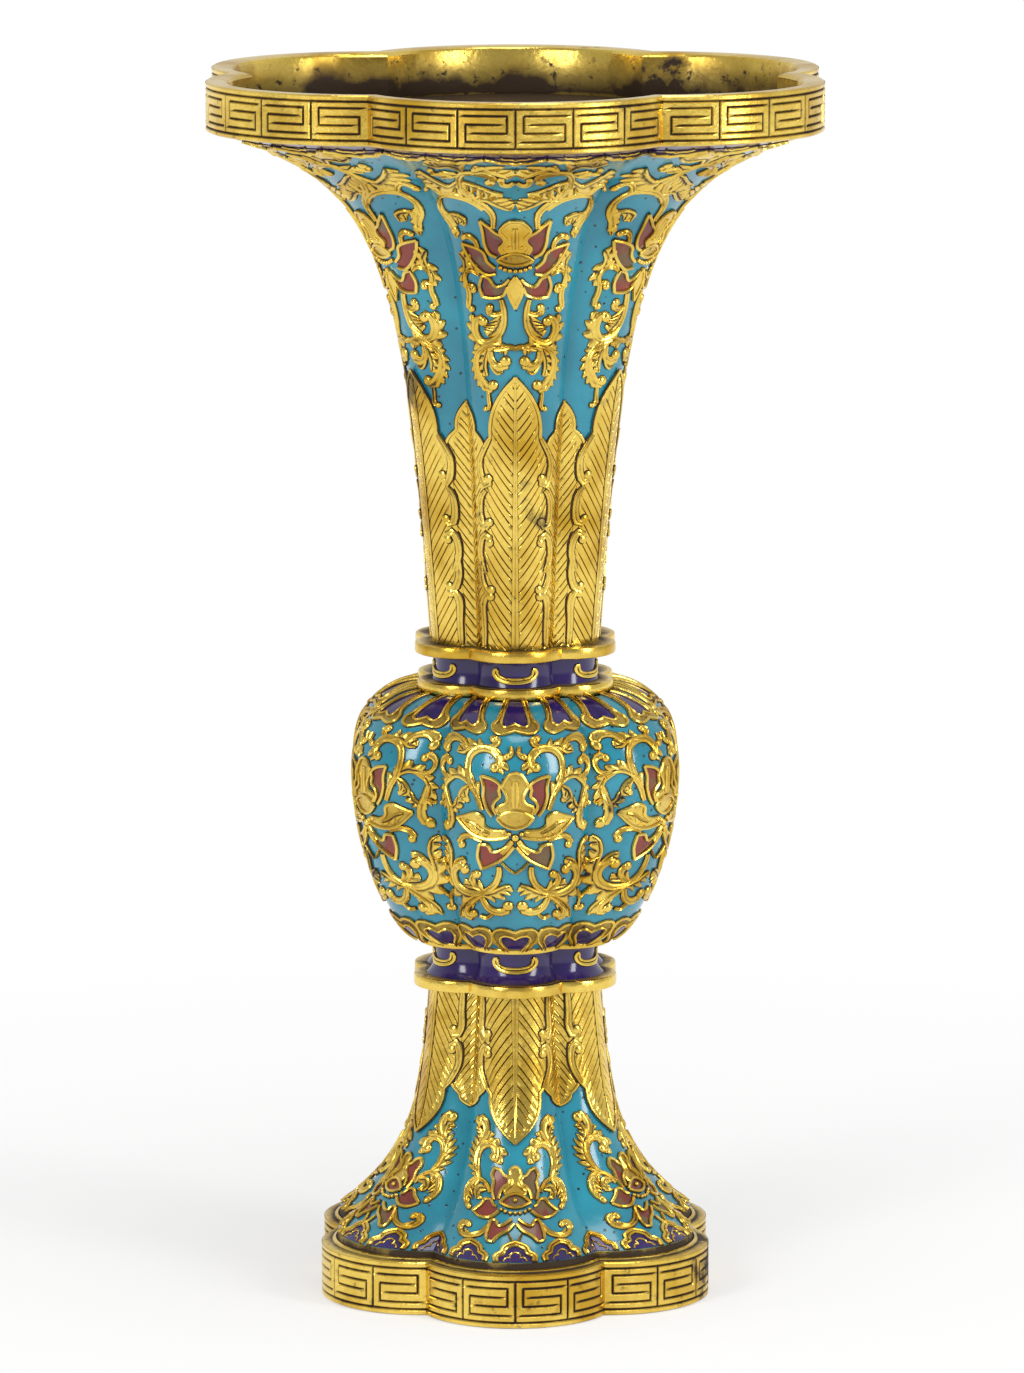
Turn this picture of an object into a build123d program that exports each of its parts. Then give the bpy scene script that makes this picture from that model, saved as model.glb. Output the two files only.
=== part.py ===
from build123d import *
from math import cos, radians, sin, sqrt
import os

# Six-lobed altar vase in the gu form, cast bronze with gilding and let-in enamel.
# The origin is the middle of the resting face, +Z is up and one lobe faces -Y.
# Heights are built up from the floor, and each lobed section is six arcs.

# Plan of every section
lobes = 6
lobe_turn = 360 / lobes
first_lobe_angle = -90
body_lobe_share = 0.525
mouth_lobe_share = 0.49
lobe_blend_power_share = 8

# Casting and enamel
casting_wall = 2.6
casting_rise = 2.4
enamel_depth = 0.9
fit_clearance = 0.1
overrun = 1.0

# Foot band, with the rebate that the foot casting stands in
foot_band_height = 13.3
foot_band_reach = 51.3
band_wall = 5.6
foot_rebate_depth = 2.0

# Foot casting
foot_height = 63.1
foot_waist_reach = 21.7
foot_taper = 5.8
foot_flare = 22.5
foot_flare_power_share = 4
foot_hem_height = 2.1
foot_hem_reach = 47.3

# Neck casting
neck_height = 126.2
neck_waist_reach = 21.2
neck_taper = 10.3
neck_swell = 21.3
neck_swell_power_share = 4
neck_bell = 23.5
neck_bell_power_share = 14
neck_plain_border = 2.2
mouth_spigot_height = 1.8

# Mouth band
mouth_band_height = 12.0
mouth_reach = 79.5

# Bulb casting
bulb_height = 60.9
bulb_belly_height = 41.2
bulb_belly_reach = 42.3
bulb_bottom_reach = 26.5
bulb_top_reach = 25.7
bulb_rim_reach = 27.0
bulb_low_power_shares = (1.143, 1.37)
bulb_high_power_shares = (0.727, 1.29)

# Flanges and collars between the castings
foot_flange_height = 2.9
foot_flange_reach = 26.8
lower_collar_height = 7.8
lower_collar_top_reach = 21.2
lower_collar_bottom_reach = 23.4
bulb_flange_height = 1.7
bulb_flange_reach = 25.5
shoulder_flange_height = 2.8
shoulder_flange_reach = 25.7
upper_collar_height = 6.6
upper_collar_reach = 21.2
collar_fillet = 0.6
neck_flange_height = 2.7
neck_flange_reach = 26.4

# Tenons and the plug that closes the vessel
tenon_radius = 14.5
tenon_bore = 12.0
plug_radius = 17.0
plug_thickness = 2.5
plug_boss_height = 4.0

# Plantain leaves of the neck and of the foot
leaf_start = 14.6
large_leaf_rise = 0.6
small_leaf_rise = 0.25
large_leaf_half_width = 7.9
large_leaf_notch_half_width = 6.3
small_leaf_half_width = 5.2
small_leaf_notch_half_width = 2.8
neck_large_leaf = 67.8
neck_small_leaf = 60.9
neck_leaf_notch = 52.9
foot_large_leaf = 35.8
foot_small_leaf = 28.1
foot_leaf_notch = 25.0
leaf_shoulder = 6.5
leaf_bulge_share = 0.14

# Purple borders of lappets: round the shoulder, under the bulb and round the hem
shoulder_border_height = 6.0
lower_border_height = 6.6
hem_border_height = 5.0

# Lotus scroll of each body, right half: start and end as shares of the waist or belly reach
# and of the height, then the bulges of the blade's two edges
scroll_rise = 0.7
neck_blade_shares = (
    (0, 0.785, 0, 0.846, -0.3, 0.3),
    (-0.198, 0.764, 0.198, 0.764, -0.2, 0.2),
    (0.127, 0.784, 0.377, 0.846, 0.22, -0.12),
    (0.245, 0.756, 0.547, 0.794, 0.2, -0.1),
    (0.061, 0.733, 0.387, 0.702, 0.2, -0.18),
    (0, 0.727, 0, 0.674, -0.2, 0.2),
    (0.274, 0.856, 0.585, 0.924, -0.2, -0.04),
    (0.594, 0.876, 0.783, 0.826, -0.4, -0.18),
    (0.175, 0.688, 0.198, 0.612, -0.22, -0.08),
    (0.245, 0.602, 0.443, 0.647, 0.52, 0.28),
    (0.349, 0.586, 0.349, 0.512, -0.32, -0.15),
)
bulb_blade_shares = (
    (0, -0.062, 0, 0.082, -0.28, 0.28),
    (-0.09, -0.095, 0.09, -0.095, -0.2, 0.2),
    (0.052, -0.069, 0.18, 0.069, 0.22, -0.1),
    (0.038, -0.158, 0.312, -0.094, 0.2, -0.04),
    (0.021, -0.19, 0.203, -0.292, 0.2, -0.18),
    (0.208, -0.039, 0.227, 0.144, 0.24, 0.11),
    (0.234, 0.026, 0.383, -0.039, -0.42, -0.2),
    (0.08, -0.299, 0.345, -0.404, 0.4, 0.24),
    (0.355, -0.378, 0.369, -0.207, 0.2, 0.05),
    (0.203, 0.163, 0.092, 0.122, 0.5, 0.28),
)
foot_blade_shares = (
    (0, 0.729, 0, 0.658, -0.3, 0.3),
    (-0.147, 0.772, 0.147, 0.772, -0.2, 0.2),
    (0.115, 0.748, 0.24, 0.666, 0.24, -0.14),
    (0.175, 0.796, 0.479, 0.803, 0.16, -0.14),
    (0.046, 0.821, 0.304, 0.88, 0.2, -0.18),
    (0.286, 0.723, 0.323, 0.571, 0.34, 0.16),
    (0.35, 0.672, 0.516, 0.77, -0.4, -0.16),
)

# Levels, from the floor up
foot_bottom = foot_band_height
foot_hem = foot_bottom + foot_hem_height
foot_top = foot_bottom + foot_height
foot_flange_top = foot_top + foot_flange_height
lower_collar_top = foot_flange_top + lower_collar_height
bulb_bottom = lower_collar_top + bulb_flange_height
bulb_belly = bulb_bottom + bulb_belly_height
bulb_top = bulb_bottom + bulb_height
shoulder_flange_top = bulb_top + shoulder_flange_height
upper_collar_top = shoulder_flange_top + upper_collar_height
neck_bottom = upper_collar_top + neck_flange_height
neck_top = neck_bottom + neck_height
mouth_top = neck_top + mouth_band_height
bore_radius = tenon_radius + fit_clearance
mouth_centre = mouth_reach * mouth_lobe_share
foot_band_centre = foot_band_reach * body_lobe_share


def lobed_face(reach, centre, z):
    """Six arcs of radius reach - centre, about points at centre from the axis."""
    lobe_radius = reach - centre
    half_turn = radians(lobe_turn / 2)
    cusp = centre * cos(half_turn) + sqrt(lobe_radius**2 - (centre * sin(half_turn)) ** 2)
    arcs = []
    for k in range(lobes):
        angle = radians(first_lobe_angle + lobe_turn * k)
        start = (cusp * cos(angle - half_turn), cusp * sin(angle - half_turn), z)
        crest = (reach * cos(angle), reach * sin(angle), z)
        end = (cusp * cos(angle + half_turn), cusp * sin(angle + half_turn), z)
        arcs.append(ThreePointArc(start, crest, end))
    return Face(Wire(arcs))


def lobed_loft(stations, ruled=False):
    """Lobed body through stations of reach, lobe centre and height."""
    return Solid.make_loft([lobed_face(*s).outer_wire() for s in stations], ruled)


def lobed_plate(reach, centre, bottom, top):
    """Straight-sided lobed plate between two heights."""
    return lobed_loft([(reach, centre, bottom), (reach, centre, top)], True)


def round_rod(radius, bottom, top):
    """Upright rod on the axis."""
    return Solid.make_cylinder(radius, top - bottom, Plane.XY.offset(bottom))


def level_slab(bottom, top):
    """Round slab wider than the vase, for cutting a body at two heights."""
    return round_rod(mouth_reach + overrun, bottom, top)


def union(solids):
    """One shape from solids that touch or overlap."""
    first, *rest = solids
    return first.fuse(*rest) if rest else first


def lobe_angles(count, turned=0):
    """Even angles from the front lobe, turned by some degrees."""
    return [first_lobe_angle + turned + 360 / count * k for k in range(count)]


def on_every_lobe(shape):
    """The solids of one lobe, copied round the axis onto all six."""
    return [solid.rotate(Axis.Z, lobe_turn * k) for solid in shape.solids() for k in range(lobes)]


def bowed(start, end, bulge):
    """Arc between two points, bowed to its right by a share of its chord."""
    across, along = end[0] - start[0], end[1] - start[1]
    middle = ((start[0] + end[0]) / 2 + along * bulge, (start[1] + end[1]) / 2 - across * bulge)
    return ThreePointArc(start, middle, end)


def outline_face(edges):
    """Face from half an outline and its mirror image in the middle line."""
    return Face(Wire([*edges, *[edge.mirror(Plane.YZ) for edge in edges]]))


def upright_prisms(face, angles, start, depth):
    """The face set upright at each angle and carried outwards from near the axis."""
    prisms = []
    for angle in angles:
        turn = radians(angle)
        out = Vector(cos(turn), sin(turn), 0)
        plane = Plane(origin=out * start, x_dir=(-sin(turn), cos(turn), 0), z_dir=out)
        prisms.append(Solid.extrude(plane * face, out * depth))
    return prisms


def foot_reach(z):
    """Reach of the foot's outer face at a height."""
    fall = (foot_top - z) / foot_height
    return foot_waist_reach + foot_taper * fall + foot_flare * fall**foot_flare_power_share


def neck_reach(z):
    """Reach of the neck's outer face at a height."""
    rise = (z - neck_bottom) / neck_height
    swell = neck_swell * rise**neck_swell_power_share
    return neck_waist_reach + neck_taper * rise + swell + neck_bell * rise**neck_bell_power_share


def neck_centre(z):
    """Lobe centre of the neck at a height: the lobes grow fuller towards the mouth."""
    rise = (z - neck_bottom) / neck_height
    blend = (mouth_lobe_share - body_lobe_share) * rise**lobe_blend_power_share
    return neck_reach(z) * (body_lobe_share + blend)


neck_station_shares = (0, 0.35, 0.6, 0.78, 0.9, 0.96, 1)
foot_station_shares = (0, 0.3, 0.55, 0.8, 1)
bulb_half_stations = 4


def neck_loft(proud, lift=0):
    """Body of the neck's outline, grown outwards by proud and raised by lift."""
    levels = [neck_bottom + neck_height * share for share in neck_station_shares]
    return lobed_loft([(neck_reach(z) + proud, neck_centre(z), z + lift) for z in levels])


def foot_loft(proud, lift=0):
    """Body of the foot's outline down to its hem, grown by proud and raised by lift."""
    levels = [foot_top + (foot_hem - foot_top) * share for share in foot_station_shares]
    return lobed_loft([(foot_reach(z) + proud, foot_reach(z) * body_lobe_share, z + lift)
                       for z in levels])


def bulb_quarter(end_reach, end_height, power_shares):
    """Reach and height of the bulb's outline from its belly to one end."""
    points = []
    for k in range(bulb_half_stations):
        turn = radians(90 * k / bulb_half_stations)
        height = end_height * sin(turn) ** power_shares[0]
        swell = (bulb_belly_reach - end_reach) * cos(turn) ** power_shares[1]
        points.append((end_reach + swell, bulb_belly + height))
    return [*points, (end_reach, bulb_belly + end_height)]


def bulb_loft(proud):
    """Body of the bulb's outline, moved by proud along its own normal."""
    low = bulb_quarter(bulb_bottom_reach, -bulb_belly_height, bulb_low_power_shares)
    high = bulb_quarter(bulb_top_reach, bulb_top - bulb_belly, bulb_high_power_shares)
    profile = [*low[:0:-1], *high]
    stations = [(bulb_bottom_reach, bulb_bottom_reach * body_lobe_share, bulb_bottom - proud)]
    for before, (reach, z), after in zip(profile, profile[1:], profile[2:]):
        run = Vector(after[0] - before[0], after[1] - before[1]).normalized()
        stations.append((reach + run.Y * proud, reach * body_lobe_share, z - run.X * proud))
    stations.append((bulb_top_reach, bulb_top_reach * body_lobe_share, bulb_top + proud))
    return lobed_loft(stations)


def collar_loft(reaches, bottom, height, proud):
    """Body of a collar through even levels."""
    count = len(reaches) - 1
    return lobed_loft([(reach + proud, reach * body_lobe_share, bottom + height * k / count)
                       for k, reach in enumerate(reaches)])


def leaf_face(base, direction, length, notch, half_width, notch_half_width):
    """Plantain leaf: straight sides, a shoulder at the notch and a bowed tip."""
    def at(across, along):
        return (across, base + direction * along)
    edges = [
        Line((0, base - direction * overrun), (half_width, base - direction * overrun)),
        Line((half_width, base - direction * overrun), at(half_width, notch - leaf_shoulder)),
        bowed(at(half_width, notch - leaf_shoulder), at(notch_half_width, notch),
              direction * leaf_bulge_share),
        bowed(at(notch_half_width, notch), at(0, length), direction * leaf_bulge_share),
    ]
    return outline_face(edges)


def leaf_prisms(base, direction, large, small, notch, depth):
    """Six large leaves on the crests and six small ones in the grooves."""
    large_face = leaf_face(base, direction, large, notch,
                           large_leaf_half_width, large_leaf_notch_half_width)
    small_face = leaf_face(base, direction, small, notch,
                           small_leaf_half_width, small_leaf_notch_half_width)
    return (upright_prisms(large_face, lobe_angles(lobes), leaf_start, depth),
            upright_prisms(small_face, lobe_angles(lobes, lobe_turn / 2), leaf_start, depth))


def blade_faces(blades, width, base, height):
    """Petals and scroll curves of one lobe: each blade is two arcs, mirrored in the middle line."""
    faces = []
    for across, along, end_across, end_along, near, far in blades:
        start = (across * width, base + along * height)
        end = (end_across * width, base + end_along * height)
        face = Face(Wire([bowed(start, end, near), bowed(start, end, far)]))
        faces.append(face)
        if across + end_across != 0:
            faces.append(face.mirror(Plane.YZ))
    return faces


def lobe_wedge():
    """The front lobe's sixth of the space round the vase."""
    half_turn = radians(lobe_turn / 2)
    far = mouth_reach + overrun
    side, front = far * sin(half_turn), -far * cos(half_turn)
    corners = [(0, 0, 0), (-side, front, 0), (side, front, 0)]
    return Solid.extrude(Face(Wire.make_polygon(corners, close=True)), Vector(0, 0, mouth_top))


def set_in_scroll(ground, shell, faces):
    """Scroll solids standing through the shell, and the ground with a cell cut for each."""
    front = lobe_angles(lobes)[:1]
    prisms = [prism for face in faces
              for prism in upright_prisms(face, front, leaf_start, mouth_reach)]
    scroll = Compound(children=[copy for prism in prisms for copy in on_every_lobe(shell & prism)])
    sector = (ground & lobe_wedge()) - prisms
    return scroll, union(on_every_lobe(sector))


def neck_parts():
    """Neck casting with its tenon and the turquoise ground let into it."""
    large, small = leaf_prisms(neck_bottom, 1, neck_large_leaf, neck_small_leaf,
                               neck_leaf_notch, mouth_reach)
    core = neck_loft(-enamel_depth)
    outline = neck_loft(0)
    ground_top = neck_top - neck_plain_border
    border = outline & level_slab(ground_top, neck_top)
    ground = (outline & level_slab(neck_bottom, ground_top)) - core
    ground = ground - union([*large, *small])
    pads = [*on_every_lobe(neck_loft(small_leaf_rise) & small[0]),
            *on_every_lobe(neck_loft(large_leaf_rise) & large[0])]
    spigot = lobed_plate(mouth_reach - band_wall - fit_clearance, mouth_centre,
                         neck_top, neck_top + mouth_spigot_height)
    tenon = round_rod(tenon_radius, bulb_top - casting_wall, neck_bottom)
    casting = core.fuse(border, *pads, spigot, tenon)
    bore = round_rod(tenon_bore, bulb_top - casting_wall - overrun,
                     neck_bottom + casting_rise + overrun)
    casting = casting - neck_loft(-casting_wall, casting_rise) - bore
    faces = blade_faces(neck_blade_shares, neck_waist_reach, neck_bottom, neck_height)
    scroll, ground = set_in_scroll(ground, neck_loft(scroll_rise) - core, faces)
    return {"neck_casting": casting, "neck_enamel": ground, "neck_scroll": scroll}


def foot_parts():
    """Foot casting with its tenon, the turquoise ground and the purple hem."""
    large, small = leaf_prisms(foot_top, -1, foot_large_leaf, foot_small_leaf,
                               foot_leaf_notch, foot_band_reach)
    core = foot_loft(-enamel_depth)
    outline = foot_loft(0)
    shell = outline - core
    border_top = foot_hem + hem_border_height
    ground = (shell & level_slab(border_top, foot_top)) - union([*large, *small])
    pads = [*on_every_lobe(foot_loft(small_leaf_rise) & small[0]),
            *on_every_lobe(foot_loft(large_leaf_rise) & large[0])]
    centre = foot_reach(foot_hem) * body_lobe_share
    hem = lobed_plate(foot_hem_reach, centre, foot_bottom - foot_rebate_depth, foot_hem)
    tenon = round_rod(tenon_radius, foot_top, bulb_bottom + casting_wall)
    casting = core.fuse(*pads, hem, tenon)
    hem_bore = lobed_plate(foot_reach(foot_hem) - casting_wall, centre,
                           foot_bottom - foot_rebate_depth - overrun, foot_hem - casting_rise)
    bore = round_rod(tenon_bore, foot_top - casting_rise - overrun,
                     bulb_bottom + casting_wall + overrun)
    casting = casting - foot_loft(-casting_wall, -casting_rise) - hem_bore - bore
    faces = blade_faces(foot_blade_shares, foot_waist_reach, foot_top, -foot_height)
    scroll, ground = set_in_scroll(ground, foot_loft(scroll_rise) - core, faces)
    return {"foot_casting": casting, "foot_enamel": ground, "foot_scroll": scroll,
            "hem_enamel": shell & level_slab(foot_hem, border_top)}


def bulb_parts():
    """Hollow bulb with its turquoise ground and the two purple borders."""
    rim = lobed_plate(bulb_rim_reach, bulb_rim_reach * body_lobe_share, bulb_bottom, bulb_top)
    inner = bulb_loft(-enamel_depth)
    core = inner + rim
    shell = bulb_loft(0) - core
    bore = round_rod(bore_radius, bulb_bottom - overrun, bulb_top + overrun)
    low = bulb_bottom + lower_border_height
    high = bulb_top - shoulder_border_height
    faces = blade_faces(bulb_blade_shares, bulb_belly_reach, bulb_belly, bulb_height)
    scroll, ground = set_in_scroll(shell & level_slab(low, high), bulb_loft(scroll_rise) - inner,
                                   faces)
    return {"bulb_casting": core - bulb_loft(-casting_wall) - bore,
            "lower_border_enamel": shell & level_slab(bulb_bottom, low),
            "bulb_enamel": ground, "bulb_scroll": scroll,
            "shoulder_border_enamel": shell & level_slab(high, bulb_top)}


def collar_parts(name, reaches, bottom, height):
    """Bronze collar and the purple enamel sleeve fired onto it."""
    core = collar_loft(reaches, bottom, height, -enamel_depth)
    sleeve = collar_loft(reaches, bottom, height, 0) - core
    bore = round_rod(bore_radius, bottom - overrun, bottom + height + overrun)
    return {name: core - bore, name + "_enamel": sleeve}


def bored_flange(reach, bottom, top):
    """Lobed plate that the tenon passes through."""
    plate = lobed_plate(reach, reach * body_lobe_share, bottom, top)
    return plate - round_rod(bore_radius, bottom - overrun, top + overrun)


def mouth_band():
    """Heavy rim band that stands on the neck and fits round its spigot."""
    band = lobed_plate(mouth_reach, mouth_centre, neck_top, mouth_top)
    return band - lobed_plate(mouth_reach - band_wall, mouth_centre,
                              neck_top - overrun, mouth_top + overrun)


def foot_band():
    """Heavy foot band with the rebate that takes the foot casting."""
    band = lobed_plate(foot_band_reach, foot_band_centre, 0, foot_bottom)
    band = band - lobed_plate(foot_band_reach - band_wall, foot_band_centre,
                              -overrun, foot_bottom + overrun)
    return band - lobed_plate(foot_hem_reach + fit_clearance,
                              foot_reach(foot_hem) * body_lobe_share,
                              foot_bottom - foot_rebate_depth, foot_bottom + overrun)


def floor_plug():
    """Disc on the bulb's floor with a boss down in the foot's tenon."""
    seat = bulb_bottom + casting_wall
    disc = round_rod(plug_radius, seat, seat + plug_thickness)
    return disc + round_rod(tenon_bore - fit_clearance, seat - plug_boss_height, seat)


parts = {"mouth_band": mouth_band(), "foot_band": foot_band(), "floor_plug": floor_plug()}
parts.update(neck_parts())
parts.update(bulb_parts())
parts.update(foot_parts())
parts.update(collar_parts("upper_collar",
                          (upper_collar_reach + collar_fillet, upper_collar_reach,
                           upper_collar_reach, upper_collar_reach + collar_fillet),
                          shoulder_flange_top, upper_collar_height))
parts.update(collar_parts("lower_collar",
                          (lower_collar_bottom_reach, lower_collar_top_reach + collar_fillet,
                           lower_collar_top_reach, lower_collar_top_reach),
                          foot_flange_top, lower_collar_height))
parts["neck_flange"] = bored_flange(neck_flange_reach, upper_collar_top, neck_bottom)
parts["shoulder_flange"] = bored_flange(shoulder_flange_reach, bulb_top, shoulder_flange_top)
parts["bulb_flange"] = bored_flange(bulb_flange_reach, lower_collar_top, bulb_bottom)
parts["foot_flange"] = bored_flange(foot_flange_reach, foot_top, foot_flange_top)

os.makedirs("parts", exist_ok=True)
for name, shape in parts.items():
    solids = shape.solids()
    export_step(solids[0] if len(solids) == 1 else Compound(children=solids), f"parts/{name}.step")
    print(name, len(solids), "solids", round(shape.volume), "mm3", shape.is_valid)
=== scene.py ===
# %% [markdown]
# # A six-lobed altar vase in gilt bronze and enamel
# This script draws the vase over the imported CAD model, node for node: finer lobed bodies, the
# carved leaves, the scrolls, the key fret and the finishes. Lengths on the vase are millimetres up
# to the moment that a mesh is made. The lamps and the camera are placed in metres.

# %% Load the frame
from math import pi, radians, sin

import bpy
import numpy as np
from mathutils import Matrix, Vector


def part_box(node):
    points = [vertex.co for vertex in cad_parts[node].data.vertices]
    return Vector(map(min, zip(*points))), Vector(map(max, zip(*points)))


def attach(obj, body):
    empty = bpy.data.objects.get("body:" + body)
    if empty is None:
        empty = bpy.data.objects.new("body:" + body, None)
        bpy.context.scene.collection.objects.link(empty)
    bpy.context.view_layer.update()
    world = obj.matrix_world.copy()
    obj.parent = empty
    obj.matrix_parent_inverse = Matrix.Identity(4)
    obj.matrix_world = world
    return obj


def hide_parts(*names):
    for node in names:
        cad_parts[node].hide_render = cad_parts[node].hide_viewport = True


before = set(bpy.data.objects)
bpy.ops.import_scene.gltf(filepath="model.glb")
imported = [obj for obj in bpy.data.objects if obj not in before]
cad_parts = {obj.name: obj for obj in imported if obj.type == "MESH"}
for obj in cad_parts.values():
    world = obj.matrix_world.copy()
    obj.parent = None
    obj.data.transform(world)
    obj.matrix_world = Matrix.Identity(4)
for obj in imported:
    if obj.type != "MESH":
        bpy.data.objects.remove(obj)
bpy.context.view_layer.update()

# %% [markdown]
# ## Sums on sockets
# Shader and geometry trees are full of sums. A small wrapper round an output socket lets a sum be
# written as Python, and one method adds any other node.

# %% Values
class Value:
    """An output socket that can be used in sums."""

    def __init__(self, graph, socket):
        self.graph, self.socket = graph, socket

    def maths(self, operation, *others):
        return self.graph.node("ShaderNodeMath", {"operation": operation}, [self, *others])

    def __add__(self, other):
        return self.maths("ADD", other)

    def __sub__(self, other):
        return self.maths("SUBTRACT", other)

    def __mul__(self, other):
        return self.maths("MULTIPLY", other)

    def __truediv__(self, other):
        return self.maths("DIVIDE", other)

    def __pow__(self, other):
        return self.maths("POWER", other)

    def __rsub__(self, other):
        return self.graph.node("ShaderNodeMath", {"operation": "SUBTRACT"}, [other, self])

    __radd__, __rmul__ = __add__, __mul__

# %% Graphs
class Graph:
    """A node tree being drawn."""

    def __init__(self, tree):
        self.tree = tree

    def node(self, kind, settings=None, sockets=None, output=0):
        """Adds a node: its settings first, then its sockets by name or by place."""
        node = self.tree.nodes.new(kind)
        for name, value in (settings or {}).items():
            if name == "stops":
                self.set_stops(node.color_ramp, value)
            else:
                setattr(node, name, value)
        pairs = sockets.items() if isinstance(sockets, dict) else enumerate(sockets or [])
        for key, value in pairs:
            if isinstance(value, Value):
                self.tree.links.new(value.socket, node.inputs[key])
            else:
                node.inputs[key].default_value = value
        return Value(self, node.outputs[output]) if len(node.outputs) else None

    def set_stops(self, ramp, stops):
        while len(ramp.elements) < len(stops):
            ramp.elements.new(0.5)
        for element, (place, shade) in zip(ramp.elements, stops):
            element.position = place
            element.color = (shade, shade, shade, 1)

    def blend(self, factor, first, second):
        """Colour between two colours."""
        sockets = {0: factor, 6: first, 7: second}
        return self.node("ShaderNodeMix", {"data_type": "RGBA"}, sockets, 2)

# %% [markdown]
# ## Finishes
# Fire gilding is a thin bright skin: it stays on what stands proud and wears to brown bronze in
# the hollows. Wear could be painted by hand on an image. Here each gilt mesh carries a number at
# its vertices, 1 in a groove, so the dirt lies in the true hollows from every side; the same
# number also paints the shade of the hollows and of the relief's feet. The shader adds clouds and
# spots of its own.

# %% Helpers for finishes
BRIGHT_GOLD, PALE_GOLD = (0.80, 0.53, 0.070, 1), (1.0, 0.77, 0.20, 1)
# The brown stands for wear and grime, and also for painted shade in the hollows.
DEEP_GOLD, WORN_AND_SHADED_BROWN = (0.60, 0.36, 0.035, 1), (0.040, 0.022, 0.009, 1)
PIT_DIRT, EMPTY_CELL = (0.01, 0.015, 0.02, 1), (0.13, 0.085, 0.030, 1)
BARE_BRONZE = (0.10, 0.06, 0.03, 1)

# Sizes of the wear and the hammering, as noise waves to the metre
PATCHES, CLOUDS, LOST_ENAMEL, GLASS_WAVES = 26, 60, 95, 130
HAMMERING, SPOTS, PITS, GRAIN = 240, 380, 520.0, 900


def new_material(name):
    material = bpy.data.materials.new(name)
    material.use_nodes = True
    material.node_tree.nodes.clear()
    return material, Graph(material.node_tree)


def close_material(graph, sockets):
    """Ends a material in a Principled shader with these sockets."""
    shader = graph.node("ShaderNodeBsdfPrincipled", None, sockets)
    graph.node("ShaderNodeOutputMaterial", None, {"Surface": shader})


def noise(graph, place, scale, detail=3.0, roughness=0.55):
    sockets = {"Vector": place, "Scale": scale, "Detail": detail, "Roughness": roughness}
    return graph.node("ShaderNodeTexNoise", None, sockets)


def ramp(graph, value, *stops):
    return graph.node("ShaderNodeValToRGB", {"stops": stops}, [value])

# %% Gilding
def gilding():
    """Gold, deep in clouds, brown in spots of wear and in grooves of grime and painted shade."""
    material, g = new_material("gilt_bronze")
    place = g.node("ShaderNodeTexCoord", output=3)
    groove = g.node("ShaderNodeAttribute", {"attribute_name": "patina"}, output=2)
    cloud = ramp(g, noise(g, place, CLOUDS, 5), (0.42, 0), (0.66, 1))
    spots = ramp(g, noise(g, place, SPOTS, 4, 0.7), (0.58, 0), (0.70, 1))
    grain = noise(g, place, GRAIN, 3, 0.6)
    bright = g.blend(grain, BRIGHT_GOLD, PALE_GOLD)
    deep = g.blend(cloud, bright, DEEP_GOLD)
    patch = ramp(g, noise(g, place, PATCHES, 6, 0.62), (0.615, 0), (0.665, 1))
    # Wear in clouds, spots and patches, with grime and painted shade from the vertex numbers.
    wear_and_shade = groove * 0.95 + cloud * groove * 0.6 + spots * 0.42 + patch * 0.65
    brown = ramp(g, wear_and_shade, (0.22, 0), (0.86, 1))
    colour = g.blend(brown, deep, WORN_AND_SHADED_BROWN)
    height = grain * 0.30 + noise(g, place, HAMMERING, 2) * 0.70
    bump = g.node("ShaderNodeBump", None,
                  {"Strength": 0.55, "Distance": 0.00035, "Height": height})
    close_material(g, {"Base Color": colour, "Metallic": 1 - brown * 0.6,
                       "Roughness": 0.20 + cloud * 0.12 + brown * 0.35, "Normal": bump})
    return material


gilt = gilding()
print("finish", gilt.name)

# %% [markdown]
# ## Enamels and bare bronze
# The colours are powdered glass, fired in cells of the metal and polished flush. They are opaque,
# a little cloudy, and pitted where bubbles burst; much of the red has come away. A cell pattern
# places the pits, because real ones are round and scattered, which plain noise is not.

# %% Enamels and bare bronze
def enamel(name, light, dark, rough=0.16, pits=0.0, lost=0.0):
    """Opaque glass with a polished coat, small dark pits, and patches where it has been lost."""
    material, g = new_material(name)
    place = g.node("ShaderNodeTexCoord", output=3)
    mottle = ramp(g, noise(g, place, CLOUDS, 4), (0.30, 0), (0.70, 1))
    colour = g.blend(mottle, light, dark)
    distance, shade = (g.node("ShaderNodeTexVoronoi", None, {"Vector": place, "Scale": PITS}, k)
                       for k in (0, 1))
    chosen = ramp(g, shade, (0.30, 1), (0.42, 0))
    pit = ramp(g, distance, (0.13, 1), (0.24, 0)) * chosen * pits
    colour = g.blend(pit, colour, PIT_DIRT)
    bare = ramp(g, noise(g, place, LOST_ENAMEL, 3, 0.6), (0.50, 0), (0.56, 1)) * lost
    colour = g.blend(bare, colour, EMPTY_CELL)
    wave = noise(g, place, GLASS_WAVES, 2)
    bump = g.node("ShaderNodeBump", None,
                  {"Strength": 0.25, "Distance": 0.0004, "Height": wave - pit * 0.4})
    close_material(g, {"Base Color": colour, "Roughness": rough, "Normal": bump,
                       "Coat Weight": 0.25, "Coat Roughness": 0.06})
    return material


turquoise = enamel("turquoise_enamel", (0.022, 0.270, 0.372, 1), (0.016, 0.180, 0.258, 1),
                   pits=1.0)
purple = enamel("purple_enamel", (0.030, 0.012, 0.135, 1), (0.015, 0.007, 0.065, 1))
red = enamel("red_enamel", (0.27, 0.036, 0.018, 1), (0.12, 0.018, 0.011, 1),
             rough=0.32, pits=0.6, lost=0.9)
bronze, bronze_graph = new_material("bare_bronze")
close_material(bronze_graph, {"Base Color": BARE_BRONZE, "Metallic": 0.7, "Roughness": 0.55})

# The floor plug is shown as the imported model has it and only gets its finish.
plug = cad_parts["floor_plug"].data
plug.materials.clear()
plug.materials.append(bronze)
print("finishes", [m.name for m in (turquoise, purple, red, bronze)])

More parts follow.
